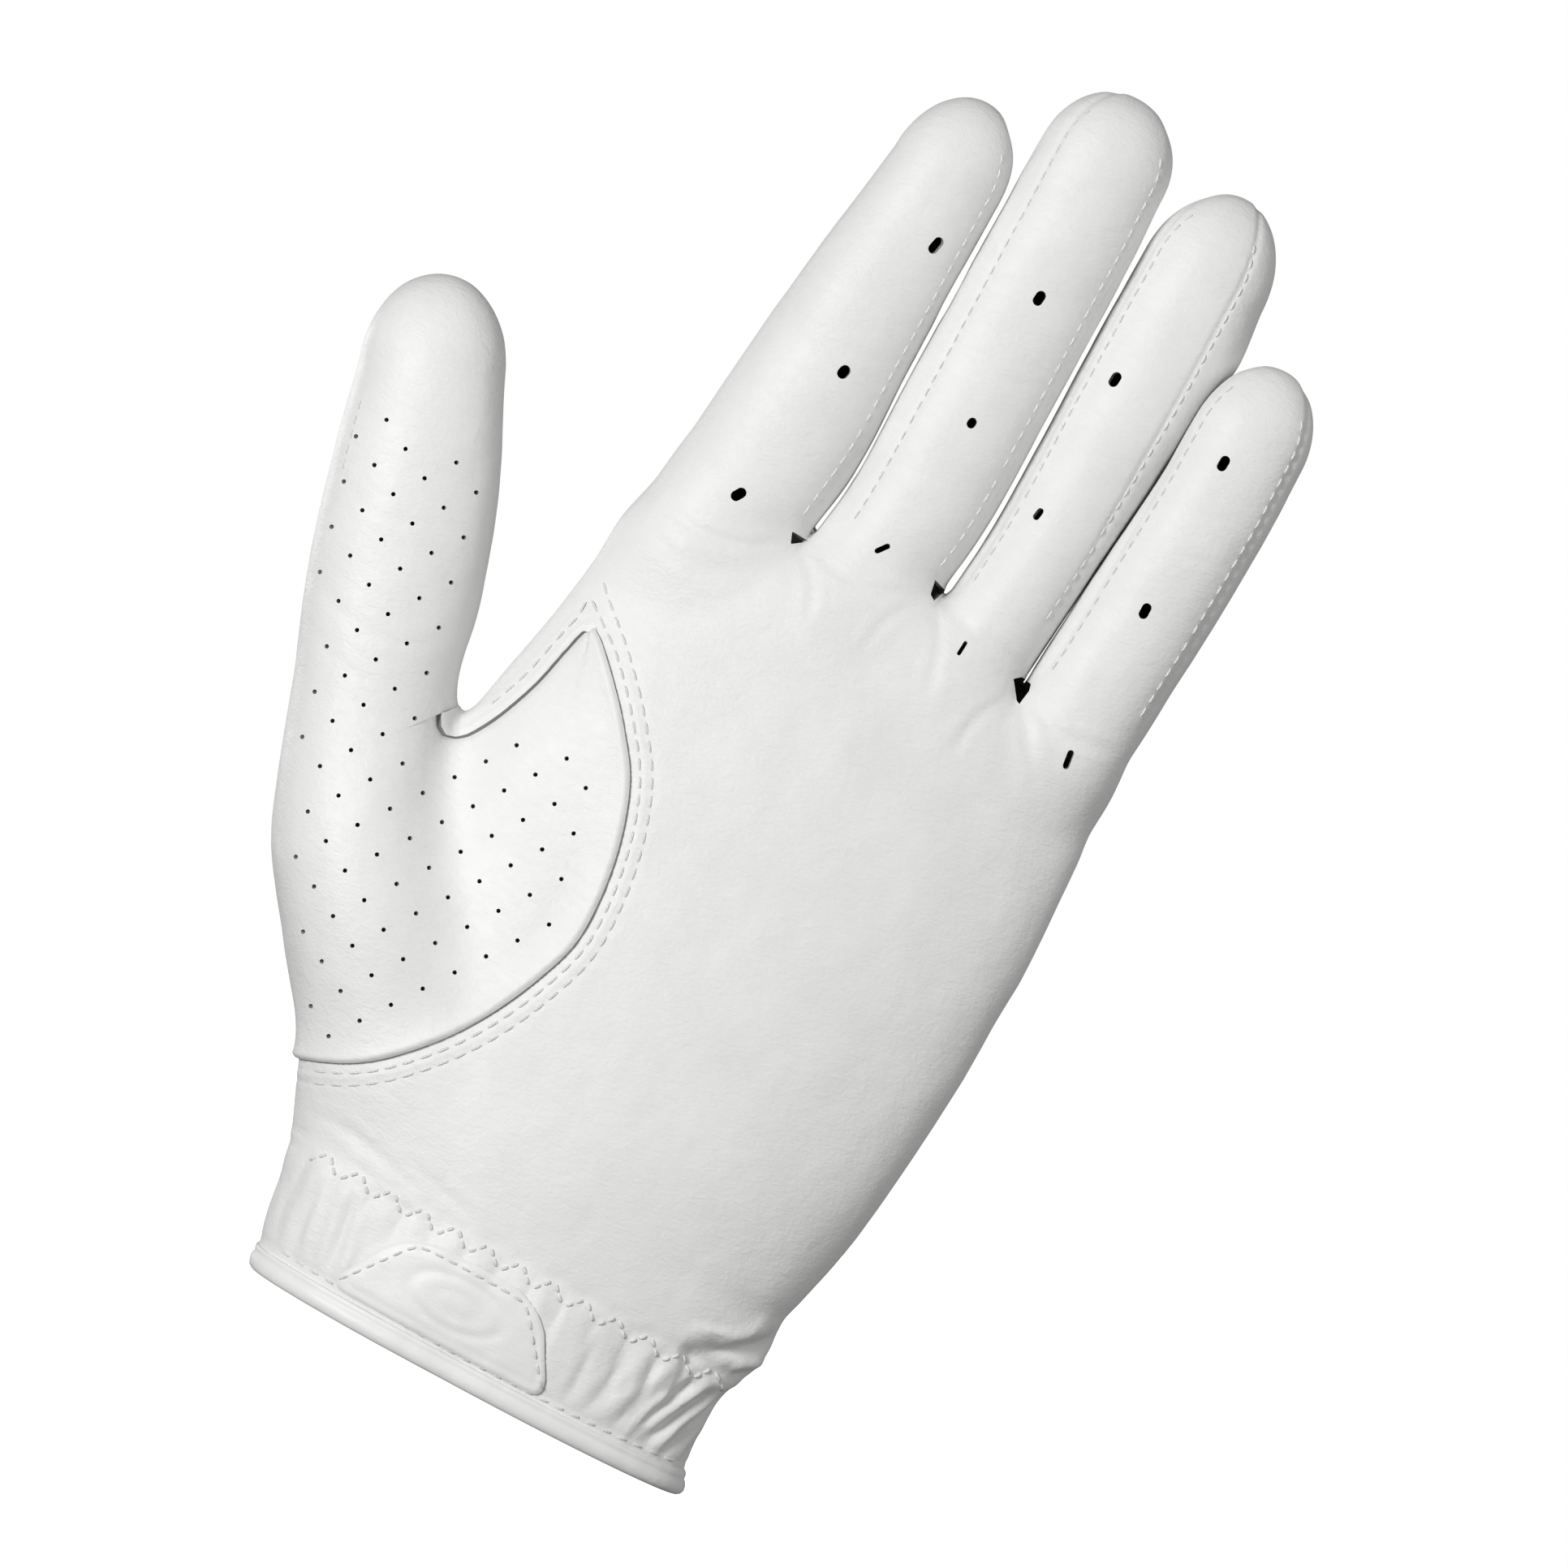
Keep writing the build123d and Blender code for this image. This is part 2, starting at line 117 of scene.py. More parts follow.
# fingers: left and right edge, half depth and forward shift along the height
FINGERS = {
    "index": {
        "left": [(112, -39.8), (125, -39.5), (144, -37.3), (162, -35.4), (175, -33.9), (185, -32.3),
                 (194, -30.9)],
        "right": [(112, -17.0), (137, -14.2), (145, -12.9), (165, -12.5), (185, -12.5), (194, -12.5)],
        "depth": [(112, 10.6), (140, 10.4), (165, 10.0), (194, 8.8)],
        "shift": [(112, 0.0), (200, -0.3)],
        "dome": 193.5, "cut": 137.0, "split": 154.5,
    },
    "middle": {
        "left": [(112, -14.6), (136, -14.2), (145, -12.9), (165, -12.9), (190, -12.5), (207, -11.9)],
        "right": [(112, 5.6), (138, 7.0), (146, 8.2), (165, 8.8), (190, 8.9), (207, 8.5)],
        "depth": [(112, 10.8), (140, 10.7), (165, 10.2), (206, 9.0)],
        "shift": [(112, 0.0), (200, 0.2)],
        "dome": 206.0, "cut": 139.6, "split": 157.5,
    },
    "ring": {
        "left": [(112, 7.0), (139, 8.3), (150, 9.2), (180, 9.3), (198, 9.7)],
        "right": [(112, 24.6), (131, 24.2), (150, 26.2), (165, 27.9), (180, 29.8), (190, 30.5), (198, 29.8)],
        "depth": [(112, 10.2), (140, 10.1), (165, 9.8), (200, 8.8)],
        "shift": [(112, 0.0), (140, 0.4), (170, 1.6), (200, 2.0)],
        "dome": 198.5, "cut": 139.6, "split": 156.0,
    },
    "little": {
        "left": [(112, 24.0), (131, 24.6), (150, 25.8), (165, 27.2), (180, 27.6)],
        "right": [(112, 43.5), (124, 43.6), (138, 44.3), (150, 45.3), (165, 46.0), (180, 46.1)],
        "depth": [(112, 9.6), (135, 9.2), (160, 8.8), (180, 8.0)],
        "shift": [(112, 0.0), (135, -0.6), (165, -2.0), (190, -2.4)],
        "dome": 179.5, "cut": 133.4, "split": 149.5,
    },
}
for name, finger in FINGERS.items():
    finger["tip"] = span(f"{name}_upper_palm_leather")[1][2] + 0.3
    finger["base"] = joint_at(f"{name}_base_bend")
    finger["middle"] = joint_at(f"{name}_middle_bend")

# thumb: edges and depths along its own axis, which leaves the hand at its lower joint
THUMB_LEFT = [(-61, -1.8), (-45, -5.2), (-32, -8.9), (-20, -11.9), (-8, -12.3), (5, -11.7), (20, -11.4),
              (37, -9.6), (55, -7.0)]
THUMB_RIGHT = [(-61, 26.0), (-45, 22.0), (-32, 19.0), (-20, 15.6), (-8, 12.8), (5, 12.6), (20, 15.0),
               (37, 16.1), (55, 15.4)]
THUMB_FRONT = [(-61, 12.0), (-45, 16.0), (-32, 17.6), (-16, 16.2), (0, 13.6), (28, 12.2), (55, 10.4)]
THUMB_BACK = [(-61, 12.0), (-32, 13.6), (0, 12.4), (28, 11.6), (55, 10.0)]
THUMB_DOME = 54.5
THUMB_TIP = 68.9
# the thumb's leather turns from the palm along this direction, which just clears the crotch
THUMB_TURN = np.array((-0.8, 0.0, 0.6))
THUMB_CUT = 92.3         # how far along it the thumb's own leather starts
THUMB_SPLIT = 24.0       # where its upper part starts, along the thumb's axis


# ---------------------------------------------------------------- fields
def smooth(t, points):
    """Smooth curve through (t, value) points, level beyond its ends."""
    xs, ys = np.array(points, float).T
    slope = np.gradient(ys, xs)
    i = np.clip(np.searchsorted(xs, t) - 1, 0, len(xs) - 2)
    h = xs[i + 1] - xs[i]
    s = np.clip((t - xs[i]) / h, 0, 1)
    return ((1 + 2 * s) * (1 - s) ** 2 * ys[i] + s * (1 - s) ** 2 * h * slope[i]
            + s * s * (3 - 2 * s) * ys[i + 1] + s * s * (s - 1) * h * slope[i + 1])


def step(t, low, high):
    """Smoothstep from 0 at low to 1 at high."""
    s = np.clip((t - low) / (high - low), 0, 1)
    return s * s * (3 - 2 * s)


def join(a, b, round_by):
    """Smooth union of two distances."""
    h = np.clip(0.5 + 0.5 * (b - a) / round_by, 0, 1)
    return b + (a - b) * h - round_by * h * (1 - h)


def meet(a, b, round_by):
    """Smooth intersection of two distances."""
    return -join(-a, -b, round_by)


def oval(u, v, a, b, power, rise=0.0, dome=1.0):
    """Nearly the distance to a superellipse of half sizes a and b; rise above a start rounds its end."""
    pu = np.abs(u) / a + 1e-6
    pv = np.abs(v) / b + 1e-6
    r = (pu ** power + pv ** power) ** (1 / power)
    w = np.maximum(rise, 0) / dome
    g = np.sqrt(r * r + w * w)
    ru = (pu / r) ** (power - 1) / a
    rv = (pv / r) ** (power - 1) / b
    steep = np.sqrt((r / g) ** 2 * (ru ** 2 + rv ** 2) + (w / (g * dome)) ** 2)
    return (g - 1) / steep


def palm_field(x, y, z):
    """Distance to the palm and cuff, about."""
    left = smooth(z, PALM_LEFT)
    right = smooth(z, PALM_RIGHT)
    depth = np.where(y < 0, smooth(z, PALM_FRONT), smooth(z, PALM_BACK))
    power = np.where(x > 0, ROUND_RIGHT, ROUND_LEFT)
    side = oval(x - (left + right) / 2, y, (right - left) / 2, depth, power)
    return meet(side, z - smooth(x, WEBS), WEB_TOP)


def finger_field(name, x, y, z):
    """Distance to one finger, which runs on down through the palm."""
    f = FINGERS[name]
    left = smooth(z, f["left"])
    right = smooth(z, f["right"])
    return oval(x - (left + right) / 2, y - smooth(z, f["shift"]), (right - left) / 2,
                smooth(z, f["depth"]), FINGER_ROUND, z - f["dome"], f["tip"] - f["dome"])


def along_thumb(x, z):
    """Thumb's own coordinates: along its axis and across it, in the palm's plane."""
    dx = x - THUMB_AT[0]
    dz = z - THUMB_AT[2]
    c, s = math.cos(THUMB_LEAN), math.sin(THUMB_LEAN)
    return dz * c - dx * s, dx * c + dz * s


def thumb_field(x, y, z):
    """Distance to the thumb and its root."""
    t, u = along_thumb(x, z)
    left = smooth(t, THUMB_LEFT)
    right = smooth(t, THUMB_RIGHT)
    depth = np.where(y < 0, smooth(t, THUMB_FRONT), smooth(t, THUMB_BACK))
    return oval(u - (left + right) / 2, y, (right - left) / 2, depth, THUMB_ROUND,
                t - THUMB_DOME, THUMB_TIP - THUMB_DOME)


def thumb_turn(co):
    """How far points lie along the direction in which the thumb turns from the palm."""
    return co @ THUMB_TURN


NEIGHBOURS = {
    "index": ("middle",),
    "middle": ("index", "ring"),
    "ring": ("middle", "little"),
    "little": ("ring",),
}


def pressed_finger(name, x, y, z):
    """A finger, flattened where it touches the next one."""
    own = finger_field(name, x, y, z)
    out = own
    for other in NEIGHBOURS[name]:
        out = meet(out, (own - finger_field(other, x, y, z)) / 2 + TOUCH, PRESS)
    return out


def hand_field(x, y, z):
    """Palm, thumb root and finger stubs; what lies past each cut is capped a little above it."""
    turn = x * THUMB_TURN[0] + z * THUMB_TURN[2]
    out = join(palm_field(x, y, z), np.maximum(thumb_field(x, y, z), turn - THUMB_CUT - STUB_OVER), CROTCH)
    if np.max(z) < STUB_START:
        return out
    stubs = None
    for name, f in FINGERS.items():
        stub = np.maximum(pressed_finger(name, x, y, z), z - f["cut"] - STUB_OVER)
        stubs = stub if stubs is None else np.minimum(stubs, stub)
    # the stubs end inside the palm: without this they would run down past the narrower wrist
    return join(out, stubs + np.maximum(STUB_END - z, 0) ** 2 / STUB_FADE, WEB)


def whole_finger(name):
    """Field of one finger with the palm that it leaves."""
    def field(x, y, z):
        return join(palm_field(x, y, z), pressed_finger(name, x, y, z), WEB)
    return field


def whole_thumb(x, y, z):
    return join(palm_field(x, y, z), thumb_field(x, y, z), CROTCH)


# ---------------------------------------------------------------- noise
def lattice(i, j, k, seed):
    """A fixed pseudo-random value in -1..1 for each lattice point."""
    n = (i * 374761393 + j * 668265263 + k * 2147483647 + seed * 1274126177) & 0x7FFFFFFF
    n = ((n ^ (n >> 13)) * 1103515245 + 12345) & 0x7FFFFFFF
    n = ((n ^ (n >> 11)) * 69069 + 1) & 0x7FFFFFFF
    return (n & 0xFFFF) / 32767.5 - 1


def noise(p, size, seed=0):
    """Smooth noise in about -1..1; size is the size of a blob, one number or one for each axis."""
    q = p / np.array(size, float)
    base = np.floor(q).astype(np.int64)
    f = q - base
    f = f * f * f * (f * (f * 6 - 15) + 10)
    out = 0
    for dx in (0, 1):
        for dy in (0, 1):
            for dz in (0, 1):
                weight = ((f[:, 0] if dx else 1 - f[:, 0]) * (f[:, 1] if dy else 1 - f[:, 1])
                          * (f[:, 2] if dz else 1 - f[:, 2]))
                out = out + weight * lattice(base[:, 0] + dx, base[:, 1] + dy, base[:, 2] + dz, seed)
    return out


# ---------------------------------------------------------------- skins
class Skin:
    """Polygon mesh that can be refined, cut along lines and clipped, with its vertex data carried along.

    v holds one row a vertex: rest position, then final position, normal and base normal once shaped.
    """

    def __init__(self, v, faces):
        self.v = v
        self.faces = faces

    @property
    def co(self):
        return self.v[:, :3]

    def centres(self):
        sizes = np.array([len(f) for f in self.faces])
        flat = np.fromiter(chain.from_iterable(self.faces), np.int64, sizes.sum())
        starts = np.concatenate([[0], np.cumsum(sizes)[:-1]])
        return np.add.reduceat(self.co[flat], starts) / sizes[:, None]

    def refine(self, near, times=1):
        """Splits each quad whose centre is near something into four, and keeps its neighbours joined."""
        for _ in range(times):
            quads = [i for i, f in enumerate(self.faces) if len(f) == 4]
            corners = self.co[np.array([self.faces[i] for i in quads])]
            picked = {quads[i] for i in np.flatnonzero(near(corners.mean(axis=1)))}
            rows = list(self.v)
            halves = {}

            def half(a, b):
                key = (a, b) if a < b else (b, a)
                if key not in halves:
                    halves[key] = len(rows)
                    rows.append((self.v[a] + self.v[b]) / 2)
                return halves[key]

            out = []
            for i in sorted(picked):
                f = self.faces[i]
                mids = [half(f[k], f[(k + 1) % 4]) for k in range(4)]
                centre = len(rows)
                rows.append(self.v[list(f)].mean(axis=0))
                for k in range(4):
                    out.append((f[k], mids[k], centre, mids[k - 1]))
            for i, f in enumerate(self.faces):
                if i in picked:
                    continue
                loop = []
                for k, a in enumerate(f):
                    b = f[(k + 1) % len(f)]
                    loop.append(a)
                    key = (a, b) if a < b else (b, a)
                    if key in halves:
                        loop.append(halves[key])
                out.append(tuple(loop))
            self.v = np.array(rows)
            self.faces = out
        return self

    def cut(self, value, where=None):
        """Adds an edge line where value is zero. where limits it to vertices for which it is true."""
        val = value(self.co)
        if where is not None:
            allowed = where(self.co).tolist()
        sign = (val > 0).tolist()
        rows = [self.v]
        fresh = []
        crossings = {}
        count = len(self.v)
        out = []
        for f in self.faces:
            signs = [sign[a] for a in f]
            if all(signs) or not any(signs) or (where is not None and not all(allowed[a] for a in f)):
                out.append(f)
                continue
            loop, hits = [], []
            for k, a in enumerate(f):
                b = f[(k + 1) % len(f)]
                loop.append(a)
                if sign[a] != sign[b]:
                    key = (a, b) if a < b else (b, a)
                    if key not in crossings:
                        t = val[a] / (val[a] - val[b])
                        crossings[key] = count + len(fresh)
                        fresh.append(self.v[a] * (1 - t) + self.v[b] * t)
                    hits.append(len(loop))
                    loop.append(crossings[key])
            if len(hits) != 2:
                out.append(tuple(loop))
                continue
            i, j = hits
            out.append(tuple(loop[i:j + 1]))
            out.append(tuple(loop[j:] + loop[:i + 1]))
        if fresh:
            rows.append(np.array(fresh))
            # a face beside the line that was not cut still takes the new points, so no crack opens
            mended = []
            for f in out:
                loop = []
                for k, a in enumerate(f):
                    b = f[(k + 1) % len(f)]
                    loop.append(a)
                    key = (a, b) if a < b else (b, a)
                    if key in crossings:
                        loop.append(crossings[key])
                mended.append(tuple(loop))
            out = mended
        self.v = np.vstack(rows)
        self.faces = out
        return self

    def pick(self, keep):
        """A new skin with the faces whose centre keep says yes to."""
        chosen = keep(self.centres())
        faces = [f for f, yes in zip(self.faces, chosen) if yes]
        used = np.unique([a for f in faces for a in f])
        index = np.full(len(self.v), -1)
        index[used] = np.arange(len(used))
        moved = index.tolist()
        return Skin(self.v[used], [tuple(moved[a] for a in f) for f in faces])

    def clip(self, value, where=None):
        """Cuts along a line and drops the side where value is positive."""
        self.cut(value, where)
        kept = self.pick(lambda c: (value(c) <= 0) if where is None else (value(c) <= 0) | ~where(c))
        self.v, self.faces = kept.v, kept.faces
        return self


def gradient(field, co, reach=0.08):
    """Slope of a field at points, by central differences."""
    g = np.empty_like(co)
    for k in range(3):
        shift = np.zeros(3)
        shift[k] = reach
        g[:, k] = field(*(co + shift).T) - field(*(co - shift).T)
    g /= 2 * reach
    return g


def settle(field, co, times=3):
    """Moves points onto the field's zero surface."""
    for _ in range(times):
        g = gradient(field, co)
        co = co - field(*co.T)[:, None] * g / np.maximum((g * g).sum(axis=1), 0.05)[:, None]
    return co


def extract(field, low, high, pitch=VOXEL):
    """Quad mesh of a field's zero surface inside a box."""
    axes = [np.arange(low[k], high[k] + pitch, pitch, dtype=np.float32) for k in range(3)]
    grid = np.empty([len(a) for a in axes], np.float32)
    x, y = np.meshgrid(axes[0], axes[1], indexing="ij")
    for k, z in enumerate(axes[2]):
        grid[:, :, k] = field(x, y, z)
    volume = openvdb.FloatGrid(background=10.0)
    volume.copyFromArray(np.ascontiguousarray(grid))
    points, quads = volume.convertToQuads(isovalue=0.0)
    co = points.astype(float) * pitch + np.array([a[0] for a in axes])
    # the faces that close the grid's own sides are left out
    inside = np.logical_and.reduce([(axes[k][0] + pitch < co[:, k]) & (co[:, k] < axes[k][-1] - pitch)
                                    for k in range(3)])
    faces = [tuple(q) for q in quads.tolist()]
    skin = Skin(co, faces)
    keep = inside[quads].all(axis=1)
    skin.faces = [f for f, yes in zip(faces, keep) if yes]
    skin.v = settle(field, skin.v)
    return skin


def vertex_normals(pos, faces):
    """Area-weighted normals of a polygon mesh."""
    out = np.zeros_like(pos)
    by_size = {}
    for f in faces:
        by_size.setdefault(len(f), []).append(f)
    for size, group in by_size.items():
        f = np.array(group)
        p = pos[f]
        n = np.zeros((len(f), 3))
        for k in range(1, size - 1):
            n += np.cross(p[:, k] - p[:, 0], p[:, k + 1] - p[:, 0])
        for k in range(size):
            np.add.at(out, f[:, k], n)
    return out / np.maximum(np.linalg.norm(out, axis=1), 1e-12)[:, None]


def shape(skin, field, height):
    """Gives a skin its folds: final position, normal and base normal join its rows."""
    co = settle(field, skin.co, 1)
    base = gradient(field, co)
    base /= np.maximum(np.linalg.norm(base, axis=1), 1e-9)[:, None]
    pos = co + base * height(co, base)[:, None]
    normals = vertex_normals(pos, skin.faces)
    flip = (normals * base).sum(axis=1) < 0
    if flip.mean() > 0.5:
        skin.faces = [tuple(reversed(f)) for f in skin.faces]
        normals = -normals
    skin.v = np.hstack([co, pos, normals, base])
    return skin


# ---------------------------------------------------------------- meshes
def new_object(name, verts, faces, normals=None, material_of=None, materials=()):
    """A smooth-shaded mesh object; its points come in millimetres."""
    mesh = bpy.data.meshes.new(name)
    mesh.from_pydata((np.asarray(verts) * MM).tolist(), [], faces)
    mesh.validate(clean_customdata=False)
    for material in materials:
        mesh.materials.append(material)
    mesh.polygons.foreach_set("use_smooth", [True] * len(mesh.polygons))
    if material_of is not None and len(material_of) == len(mesh.polygons):
        mesh.polygons.foreach_set("material_index", material_of)
    mesh.update()
    if normals is not None and len(normals) == len(mesh.vertices):
        mesh.normals_split_custom_set_from_vertices(normals.tolist())
    obj = bpy.data.objects.new(name, mesh)
    bpy.context.scene.collection.objects.link(obj)
    return obj


def leather_piece(name, skin, materials, thickness=LEATHER):
    """A piece of leather with a grain side, a suede side and cut edges; the suede side and cut edges take the
    second material, which for leather is the flesh side darkened as painted shade.
    """
    pos, normals, base = skin.v[:, 3:6], skin.v[:, 6:9], skin.v[:, 9:12]
    count = len(pos)
    inner = pos - base * thickness
    faces = list(skin.faces)
    edges = set()
    for f in faces:
        for k, a in enumerate(f):
            edges.add((a, f[(k + 1) % len(f)]))
    border = [(a, b) for a, b in edges if (b, a) not in edges]
    border.sort()
    all_faces = faces + [tuple(count + a for a in reversed(f)) for f in faces]
    # cut edges have vertices of their own, so that they stay crisp
    verts = [pos, inner]
    norms = [normals, -normals]
    start = 2 * count
    rim_faces = []
    if border:
        a, b = np.array(border).T
        corner = np.stack([pos[b], pos[a], inner[a], inner[b]], axis=1)
        out = np.cross(corner[:, 1] - corner[:, 0], corner[:, 3] - corner[:, 0])
        out /= np.maximum(np.linalg.norm(out, axis=1), 1e-12)[:, None]
        verts.append(corner.reshape(-1, 3))
        norms.append(np.repeat(out, 4, axis=0))
        rim_faces = [tuple(range(start + 4 * i, start + 4 * i + 4)) for i in range(len(border))]
    index = [0] * len(faces) + [1] * (len(faces) + len(rim_faces))
    return new_object(name, np.vstack(verts), all_faces + rim_faces, np.vstack(norms), index, materials)


# ---------------------------------------------------------------- materials
def shader(name):
    material = bpy.data.materials.new(name)
    material.use_nodes = True
    nodes = material.node_tree.nodes
    return material, nodes, material.node_tree.links, nodes["Principled BSDF"]


def add_bump(nodes, links, heights, bsdf):
    """Chains bump nodes from (height socket, strength, distance) onto the shader's normal."""
    normal = None
    for socket, strength, distance in heights:
        bump = nodes.new("ShaderNodeBump")
        bump.inputs["Strength"].default_value = strength
        bump.inputs["Distance"].default_value = distance
        links.new(socket, bump.inputs["Height"])
        if normal is not None:
            links.new(normal, bump.inputs["Normal"])
        normal = bump.outputs["Normal"]
    links.new(normal, bsdf.inputs["Normal"])


def leather_material(name, tint, rough=0.5, grain=1.0):
    """White leather: pores and fine wrinkles in the surface, faint clouds in the colour."""
    material, nodes, links, bsdf = shader(name)
    place = nodes.new("ShaderNodeTexCoord")
    stretch = nodes.new("ShaderNodeMapping")
    stretch.inputs["Scale"].default_value = (1.0, 1.0, 1.7)
    links.new(place.outputs["Object"], stretch.inputs["Vector"])
    pores = nodes.new("ShaderNodeTexVoronoi")
    pores.feature = "SMOOTH_F1"
    pores.inputs["Scale"].default_value = 1500
    pores.inputs["Smoothness"].default_value = 0.6
    links.new(stretch.outputs["Vector"], pores.inputs["Vector"])
    lines = nodes.new("ShaderNodeTexNoise")
    lines.inputs["Scale"].default_value = 400
    lines.inputs["Detail"].default_value = 6
    lines.inputs["Roughness"].default_value = 0.62
    lines.inputs["Distortion"].default_value = 0.6
    links.new(stretch.outputs["Vector"], lines.inputs["Vector"])
    soft = nodes.new("ShaderNodeTexNoise")
    soft.inputs["Scale"].default_value = 95
    soft.inputs["Detail"].default_value = 3
    links.new(place.outputs["Object"], soft.inputs["Vector"])
    ramp = nodes.new("ShaderNodeValToRGB")
    ramp.color_ramp.elements[0].position = 0.3
    ramp.color_ramp.elements[0].color = (*[c * 0.955 for c in tint], 1)
    ramp.color_ramp.elements[1].position = 0.7
    ramp.color_ramp.elements[1].color = (*tint, 1)
    links.new(soft.outputs["Fac"], ramp.inputs["Fac"])
    links.new(ramp.outputs["Color"], bsdf.inputs["Base Color"])
    rougher = nodes.new("ShaderNodeMapRange")
    rougher.inputs["To Min"].default_value = rough - 0.06
    rougher.inputs["To Max"].default_value = rough + 0.08
    links.new(lines.outputs["Fac"], rougher.inputs["Value"])
    links.new(rougher.outputs["Result"], bsdf.inputs["Roughness"])
    bsdf.inputs["Specular IOR Level"].default_value = 0.42
    bsdf.inputs["Sheen Weight"].default_value = 0.06
    bsdf.inputs["Sheen Roughness"].default_value = 0.4
    add_bump(nodes, links, [(soft.outputs["Fac"], 0.25 * grain, 0.0006),
                            (lines.outputs["Fac"], 0.45 * grain, 0.00032),
                            (pores.outputs["Distance"], 0.3 * grain, 0.00012)], bsdf)
    return material


def suede_material(name, tint):
    """Flesh side of the leather: its fibres are its own, its dark tint is painted shade of the glove's hollow
    inside, seen through holes and at cut edges.
    """
    material, nodes, links, bsdf = shader(name)
    place = nodes.new("ShaderNodeTexCoord")
    fibres = nodes.new("ShaderNodeTexNoise")
    fibres.inputs["Scale"].default_value = 900
    fibres.inputs["Detail"].default_value = 5
    links.new(place.outputs["Object"], fibres.inputs["Vector"])
    ramp = nodes.new("ShaderNodeValToRGB")
    ramp.color_ramp.elements[0].color = (*[c * 0.8 for c in tint], 1)
    ramp.color_ramp.elements[1].color = (*tint, 1)
    links.new(fibres.outputs["Fac"], ramp.inputs["Fac"])
    links.new(ramp.outputs["Color"], bsdf.inputs["Base Color"])
    bsdf.inputs["Roughness"].default_value = 0.95
    bsdf.inputs["Specular IOR Level"].default_value = 0.15
    add_bump(nodes, links, [(fibres.outputs["Fac"], 0.6, 0.0002)], bsdf)
    return material


def thread_material(name, tint):
    """Twisted sewing thread."""
    material, nodes, links, bsdf = shader(name)
    place = nodes.new("ShaderNodeTexCoord")
    twist = nodes.new("ShaderNodeTexWave")
    twist.bands_direction = "DIAGONAL"
    twist.inputs["Scale"].default_value = 900
    twist.inputs["Distortion"].default_value = 1.5
    links.new(place.outputs["Object"], twist.inputs["Vector"])
    ramp = nodes.new("ShaderNodeValToRGB")
    ramp.color_ramp.elements[0].color = (*[c * 0.82 for c in tint], 1)
    ramp.color_ramp.elements[1].color = (*tint, 1)
    links.new(twist.outputs["Fac"], ramp.inputs["Fac"])
    links.new(ramp.outputs["Color"], bsdf.inputs["Base Color"])
    bsdf.inputs["Roughness"].default_value = 0.6
    bsdf.inputs["Sheen Weight"].default_value = 0.15
    add_bump(nodes, links, [(twist.outputs["Fac"], 0.5, 0.0001)], bsdf)
    return material


def cloth_material(name, tint, pitch, depth):
    """Fine woven or looped fabric; pitch is the size of a loop in metres."""
    material, nodes, links, bsdf = shader(name)
    place = nodes.new("ShaderNodeTexCoord")
    loops = nodes.new("ShaderNodeTexVoronoi")
    loops.inputs["Scale"].default_value = 1 / pitch
    links.new(place.outputs["Object"], loops.inputs["Vector"])
    ramp = nodes.new("ShaderNodeValToRGB")
    ramp.color_ramp.elements[0].color = (*tint, 1)
    ramp.color_ramp.elements[1].color = (*[c * 0.6 for c in tint], 1)
    links.new(loops.outputs["Distance"], ramp.inputs["Fac"])
    links.new(ramp.outputs["Color"], bsdf.inputs["Base Color"])
    bsdf.inputs["Roughness"].default_value = 0.9
    bsdf.inputs["Sheen Weight"].default_value = 0.25
    add_bump(nodes, links, [(loops.outputs["Distance"], 0.8, depth)], bsdf)
    return material


WHITE = (0.86, 0.86, 0.85)
LEATHER_MAT = leather_material("white_leather", WHITE)
PANEL_MAT = leather_material("panel_leather", (0.87, 0.87, 0.86), 0.48)
TRIM_MAT = leather_material("trim_leather", (0.88, 0.88, 0.87), 0.45, 0.6)
# the flesh side's tint is far darker than the pale flesh side of white leather: painted shade for the inside
# seen through vents, perforations and cut edges
FLESH_SIDE_SHADE_MAT = suede_material("leather_flesh_side_painted_shade", (0.34, 0.335, 0.325))
THREAD_MAT = thread_material("sewing_thread", (0.84, 0.84, 0.83))
ELASTIC_MAT = cloth_material("elastic_weave", (0.8, 0.8, 0.79), 0.0009, 0.0002)
PILE_MAT = cloth_material("loop_pile", (0.82, 0.82, 0.81), 0.0006, 0.0004)
HOOK_MAT = cloth_material("hook_pile", (0.8, 0.8, 0.79), 0.0012, 0.0005)
LINING_MAT = cloth_material("lining_weave", (0.78, 0.78, 0.77), 0.0007, 0.0001)


# ---------------------------------------------------------------- seams and outlines
def curve(points, spacing=2.2):
    """Smooth polyline through points, resampled at an even spacing."""
    p = np.array(points, float)
    ext = np.vstack([2 * p[0] - p[1], p, 2 * p[-1] - p[-2]])
    out = []
    for i in range(1, len(ext) - 2):
        a, b, c, d = ext[i - 1:i + 3]
        for t in np.linspace(0, 1, 24, endpoint=False):
            out.append(0.5 * (2 * b + (c - a) * t + (2 * a - 5 * b + 4 * c - d) * t * t
                              + (3 * b - a - 3 * c + d) * t ** 3))
    return even(np.array(out + [ext[-2]]), spacing)


def even(line, spacing):
    """The same polyline with its points at an even spacing."""
    run = np.concatenate([[0], np.cumsum(np.linalg.norm(np.diff(line, axis=0), axis=1))])
    at = np.linspace(0, run[-1], max(2, int(round(run[-1] / spacing)) + 1))
    return np.stack([np.interp(at, run, line[:, k]) for k in range(line.shape[1])], axis=1)


